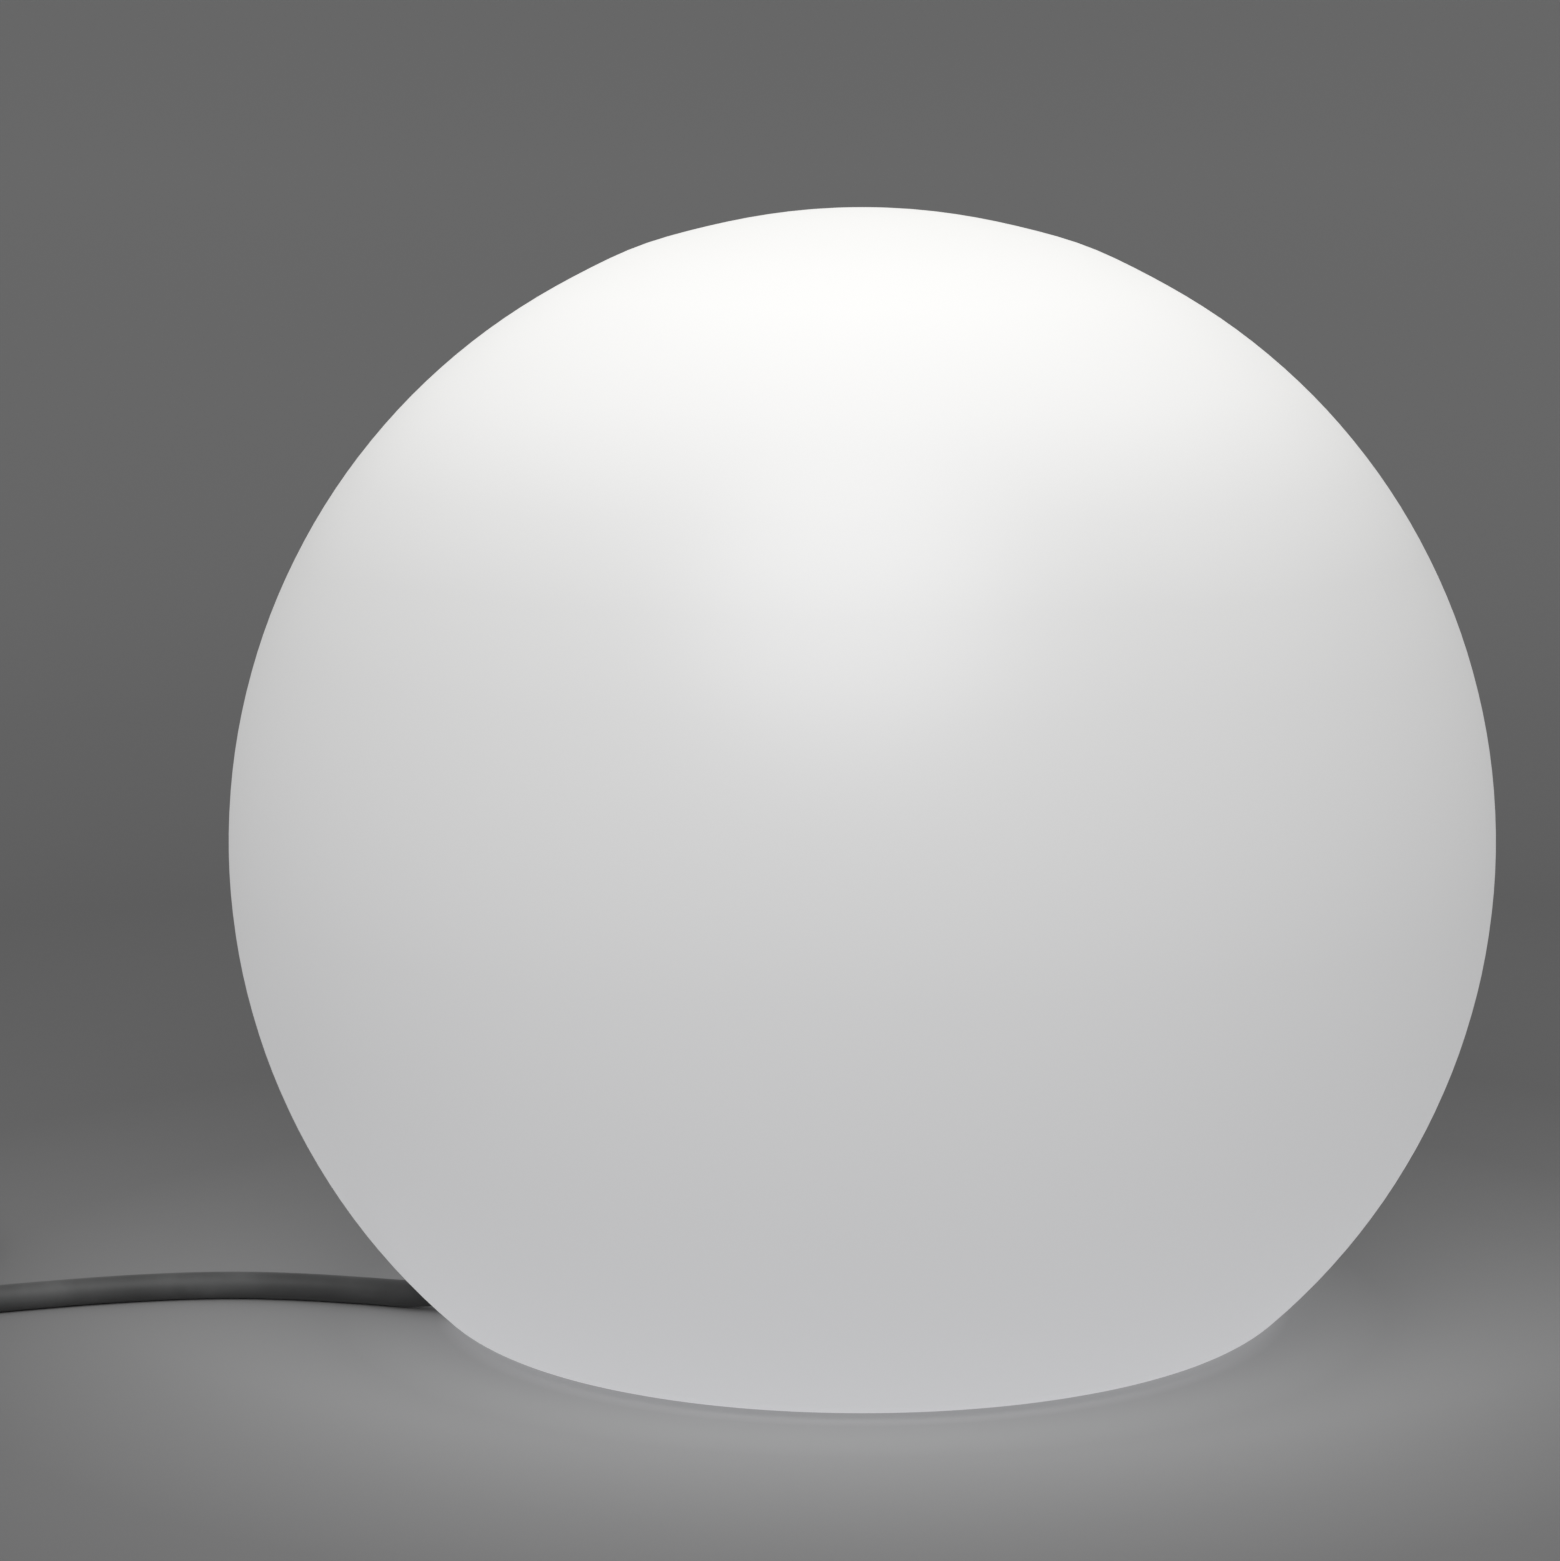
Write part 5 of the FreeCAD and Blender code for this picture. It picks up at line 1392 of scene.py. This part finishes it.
@dataclass
class Cord:
    """The rubber cord: a free stretch on the floor, the put-away coil, and the tail to the plug."""

    radius: float = CORD_RADIUS
    length: float = 2.98
    layer_turns: float = 2.25
    last_turns: float = 2.0
    layers: int = 4
    coil_radius: float = 0.0576
    coil_gap: float = 0.0006
    points_per_turn: int = 16
    gland_turn: float = GLAND_TURN
    exit_height: float = 0.0131
    first_run: float = 0.017
    strap: float = 0.001  # how much a strap lifts the cord that lies on it
    plug_radius: float = 0.0195
    tail_run: float = 0.11675  # from the coil to the plug's entry
    tail_stray: float = 0.0018  # to the left on the way

    def __post_init__(self) -> None:
        """Lays out the route on the floor."""
        out = Vector((-math.cos(self.gland_turn), -math.sin(self.gland_turn), 0))
        self.start = out * CORD_EXIT + Vector((0, 0, self.exit_height))
        floor = self.radius
        strap = floor + self.strap
        self.route = [
            self.start,
            self.start + out * self.first_run,
            Vector((-0.1250, -0.0106, floor + 0.0040)),
            Vector((-0.1415, -0.0076, floor + 0.0003)),
            Vector((-0.1590, -0.0016, floor)),
            Vector((-0.1800, 0.0036, floor)),
            Vector((-0.2030, 0.0062, floor)),
            Vector((-0.2260, 0.0040, floor)),
            Vector((-0.2500, -0.0016, floor)),
            Vector((-0.2750, -0.0100, floor)),
            Vector((-0.3000, -0.0196, floor)),
            Vector((-0.3250, -0.0263, strap)),
            Vector((-0.3500, -0.0263, strap)),
        ]

    @property
    def pitch(self) -> float:
        """From one turn to the next."""
        return self.radius * 2 + self.coil_gap

    @property
    def turns(self) -> float:
        """How many turns the coil has."""
        return self.layer_turns * (self.layers - 1) + self.last_turns

    @property
    def coil_centre(self) -> Vector:
        """The coil's axis, at the height of its first layer."""
        return self.route[-1] + Vector((-self.radius * 2, self.coil_radius, 0))

    def level(self, turn: float) -> float:
        """How high the coil has climbed, smoothly over the half turn round each reversal.

        Args:
            turn: How many turns it has made.

        Returns:
            The layer, from 0.
        """
        reversal = round(turn / self.layer_turns)
        if not 0 < reversal < self.layers:
            return min(reversal, self.layers - 1)
        share = min(max((turn - reversal * self.layer_turns) * 2 + 0.5, 0.0), 1.0)
        return reversal - 1 + smooth(share)

    def coil_point(self, turn: float, spread: float = 1.0) -> Vector:
        """A point of the coil.

        Args:
            turn: How many turns it has made.
            spread: How much further out the point stands than the cord that it bends.

        Returns:
            The point.
        """
        layer = min(int(turn / self.layer_turns), self.layers - 1)
        within = turn - layer * self.layer_turns
        depth = within if layer % 2 == 0 else self.layer_turns - within
        radius = (self.coil_radius - self.pitch * depth) * spread
        angle = -math.tau * turn - QUARTER  # it starts at its front
        along = Vector((radius * math.cos(angle), radius * math.sin(angle), self.pitch * self.level(turn)))
        return self.coil_centre + along

    def coil(self) -> list[Vector]:
        """The coil's turns.

        Returns:
            The points that steer them.
        """
        spread = 1 / math.cos(math.pi / self.points_per_turn)
        count = round(self.turns * self.points_per_turn)
        return [self.coil_point(i / self.points_per_turn, spread) for i in range(1, count)]

    def tail(self) -> list[Vector]:
        """The way from the coil down to the plug.

        Returns:
            The points that steer it.
        """
        top = self.coil_point(self.turns)
        start = top + Vector((0, -self.radius * 2, 0))
        drop = start.z - self.plug_radius
        entry = Vector((start.x - self.tail_stray, start.y - self.tail_run, self.plug_radius))
        return [
            top,
            start + Vector((0, -0.0230, 0)),
            start + Vector((-0.0006, -0.0470, -drop * 0.21)),
            start + Vector((-0.0014, -0.0700, -drop * 0.7)),
            entry + Vector((0, 0.0220, 0)),
            entry,
        ]

    def curve(self) -> Piece:
        """The whole cord as one smooth curve.

        Returns:
            The curve.
        """
        points = self.route + self.coil() + self.tail()
        data = bpy.data.curves.new("cord_line", "CURVE")
        data.dimensions = "3D"
        data.bevel_depth = self.radius
        data.bevel_resolution = 5
        data.resolution_u = 5
        data.use_fill_caps = True
        spline = data.splines.new("NURBS")
        spline.points.add(len(points) - 1)
        for point, place in zip(spline.points, points):
            point.co = (*place, 1.0)
        spline.order_u = 3
        spline.use_endpoint_u = True
        cord = bpy.data.objects.new("cord_whole", data)
        bpy.context.scene.collection.objects.link(cord)
        return cord

    def build(self, others: Sequence[Piece]) -> None:
        """Makes the cord.

        Args:
            others: The pieces on it: its straps and its plug; not used.
        """
        cord = finished(self.curve(), CABLE, Body.BASE, "cord", "cord_coil", "cord_tail")


@dataclass
class Plug:
    """The moulded earthed plug and the straps round the coil."""

    coil: Vector  # the coil's axis
    relief: float = 0.030  # from the cord's entry
    shoulder: float = 0.037
    front: float = 0.058
    end: float = 0.072
    relief_r: float = 0.0070
    entry_r: float = 0.00525
    grip_r: float = 0.0150
    front_r: float = 0.0195
    face_r: float = 0.0155
    face_depth: float = 0.006
    grooves: int = 5
    ribs: int = 3
    groove: float = 0.0009
    corners: tuple[float, ...] = (0.0, 0.15, 0.5, 0.65)  # a groove's, as shares of the step
    lead: float = 0.7  # where the cord relief's first groove starts, in steps
    pin_r: float = 0.0024
    pin_tip: float = 0.6  # the tip's rounding, as a share of the pin's radius
    pin_root_r: float = 0.0028
    pin_length: float = 0.019
    pin_inside: float = 0.012
    pin_side: float = 0.0095
    edge: float = 0.0008
    strap: float = 0.0008
    strap_gap: float = 0.0001
    strap_width: float = 0.014
    strap_round: float = 0.0052
    strap_inner: float = 0.0311  # from the coil's axis
    strap_outer: float = 0.0631
    strap_turns: tuple[float, float] = (math.radians(45), math.radians(225))
    lap: float = 0.006  # how far the lapped end hangs below the middle

    @property
    def entry(self) -> Vector:
        """Where the cord enters the plug."""
        low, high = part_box("plug_body")
        return Vector(((low.x + high.x) / 2, high.y, (low.z + high.z) / 2))

    def grooved(self, start: float, step: float, count: int, radius: float, slope: float = 0.0) -> Outline:
        """Grooves along the body.

        Args:
            start: Where the first one starts, from the cord's entry.
            step: From one to the next.
            count: How many there are.
            radius: The body's radius at the cord's entry.
            slope: How fast it grows.

        Returns:
            The grooves' corners.
        """
        points = []
        for groove in range(count):
            at = start + step * groove
            outer = radius + slope * at
            inner = outer - self.groove
            points += list(zip((outer, inner, inner, outer), (at + step * corner for corner in self.corners)))
        return points

    def body(self) -> Piece:
        """The rubber body: a grooved cord relief, a ribbed grip and a broad front.

        Returns:
            The body.
        """
        edge = self.edge
        step = (self.relief - edge) / (self.grooves + 1)
        span = (self.front - self.shoulder) / (self.ribs + 1)
        slope = (self.relief_r - self.entry_r) / self.relief
        outline = [(0, 0), (self.entry_r, 0)]
        outline += self.grooved(step * self.lead, step, self.grooves, self.entry_r, slope)
        outline += [(self.relief_r, self.relief), ((self.relief_r + self.grip_r) / 2, self.relief + edge * 2)]
        outline += [(self.grip_r - edge, self.shoulder - edge * 2), (self.grip_r, self.shoulder)]
        outline += self.grooved(self.shoulder + span / 2, span, self.ribs, self.grip_r)
        outline += [(self.grip_r, self.front - edge * 2), (self.grip_r + edge, self.front - edge / 2)]
        outline += arc((self.front_r - edge, self.front + edge), edge, -QUARTER, 0, steps=4)
        outline += arc((self.front_r - edge, self.end - edge), edge, 0, QUARTER, steps=4)
        seat = self.end - self.face_depth
        outline += [(self.face_r, self.end), (self.face_r, seat), (0, seat)]
        return laid(lathe("plug_body_piece", outline, steps=96), Lie.PLUG, self.entry)

    def pins(self) -> Piece:
        """The two pins with rounded tips.

        Returns:
            The pair, as one piece.
        """
        tip = self.pin_r * self.pin_tip
        root, out = self.end - self.pin_inside, self.end + self.pin_length
        outline = [(0, root), (self.pin_root_r, root), (self.pin_root_r, self.end), (self.pin_r, self.end)]
        outline += arc((self.pin_r - tip, out - tip), tip, 0, QUARTER) + [(0, out)]
        pair = []
        for side in (-1, 1):
            place = self.entry + Vector((side * self.pin_side, 0, 0))
            pair.append(laid(lathe("plug_pins_piece", outline, steps=40), Lie.PLUG, place))
        return joined(pair, "plug_pins_piece")

    def band(self, grown: float) -> Piece:
        """A strap's loop as a sheet with rounded corners, about the middle of the turns that it holds.

        Args:
            grown: How far it lies outside the strap's first layer.

        Returns:
            The sheet.
        """
        thick = (self.strap_outer - self.strap_inner) / 2 + grown
        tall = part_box("cord_ties")[1].z / 2 + grown
        bpy.ops.mesh.primitive_cube_add(size=2)
        band = added("cord_ties_piece")
        band.scale = (thick, self.strap_width / 2, tall)
        apply_place(band)

        def across(side: bpy.types.MeshEdge) -> bool:
            """Whether an edge runs across the strap."""
            one, two = (band.data.vertices[end].co.y for end in side.vertices)
            return abs(one - two) > self.strap_width / 2

        choose(band, "FACE", lambda face: abs(face.normal.y) > 0.9)
        bpy.ops.mesh.delete(type="ONLY_FACE")
        close()
        choose(band, "EDGE", across)
        bpy.ops.mesh.bevel(offset=self.strap_round + grown, segments=8, affect="EDGES")
        close()
        return band

    def straps(self) -> Piece:
        """The two straps, each a loop with its end lapped over its outer side.

        Returns:
            The pair, as one piece.
        """
        layers = []
        away = (self.strap_inner + self.strap_outer) / 2
        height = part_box("cord_ties")[1].z / 2
        for turn in self.strap_turns:
            place = (self.coil.x + away * math.cos(turn), self.coil.y + away * math.sin(turn), height)
            for grown in (0.0, self.strap + self.strap_gap):
                band = self.band(grown)
                if grown:
                    edit(band)
                    bpy.ops.mesh.bisect(plane_co=(0, 0, 0), plane_no=(1, 0, 0), clear_inner=True)
                    whole()
                    bpy.ops.mesh.bisect(plane_co=(0, 0, -self.lap), plane_no=(0, 0, 1), clear_inner=True)
                    close()
                modify(band, "SOLIDIFY", thickness=self.strap, offset=-1)
                band.rotation_euler = (0, 0, turn)
                band.location = place
                apply_place(band)
                layers.append(band)
        straps = joined(layers, "cord_ties_piece")
        modify(straps, "BEVEL", width=self.strap / 4, segments=1, limit_method="ANGLE",
               angle_limit=math.radians(60), use_clamp_overlap=True)
        return straps

    def build(self) -> list[Piece]:
        """Makes the plug and the straps.

        Returns:
            Its pieces.
        """
        return [
            finished(self.body(), PLUG_RUBBER, Body.BASE, "plug_body"),
            finished(self.pins(), NICKEL, Body.BASE, "plug_pins"),
            finished(copied("plug_face", self.edge / 2), PLUG_INSERT, Body.BASE, "plug_face"),
            finished(copied("plug_earth_clips", self.edge / 4), NICKEL, Body.BASE, "plug_earth_clips"),
            finished(self.straps(), STRAP, Body.BASE, "cord_ties"),
        ]


def main() -> None:
    """Builds the studio and the light."""
    logging.basicConfig(level=logging.INFO, format="%(name)s %(message)s")
    Studio().build()
    cord = Cord()
    cord.build(Plug(cord.coil_centre).build())
    for part in (Globe(), Base(), BendGuard(), Connection(), Lampholder(), Bulb()):
        part.build()


if __name__ == "__main__":
    main()
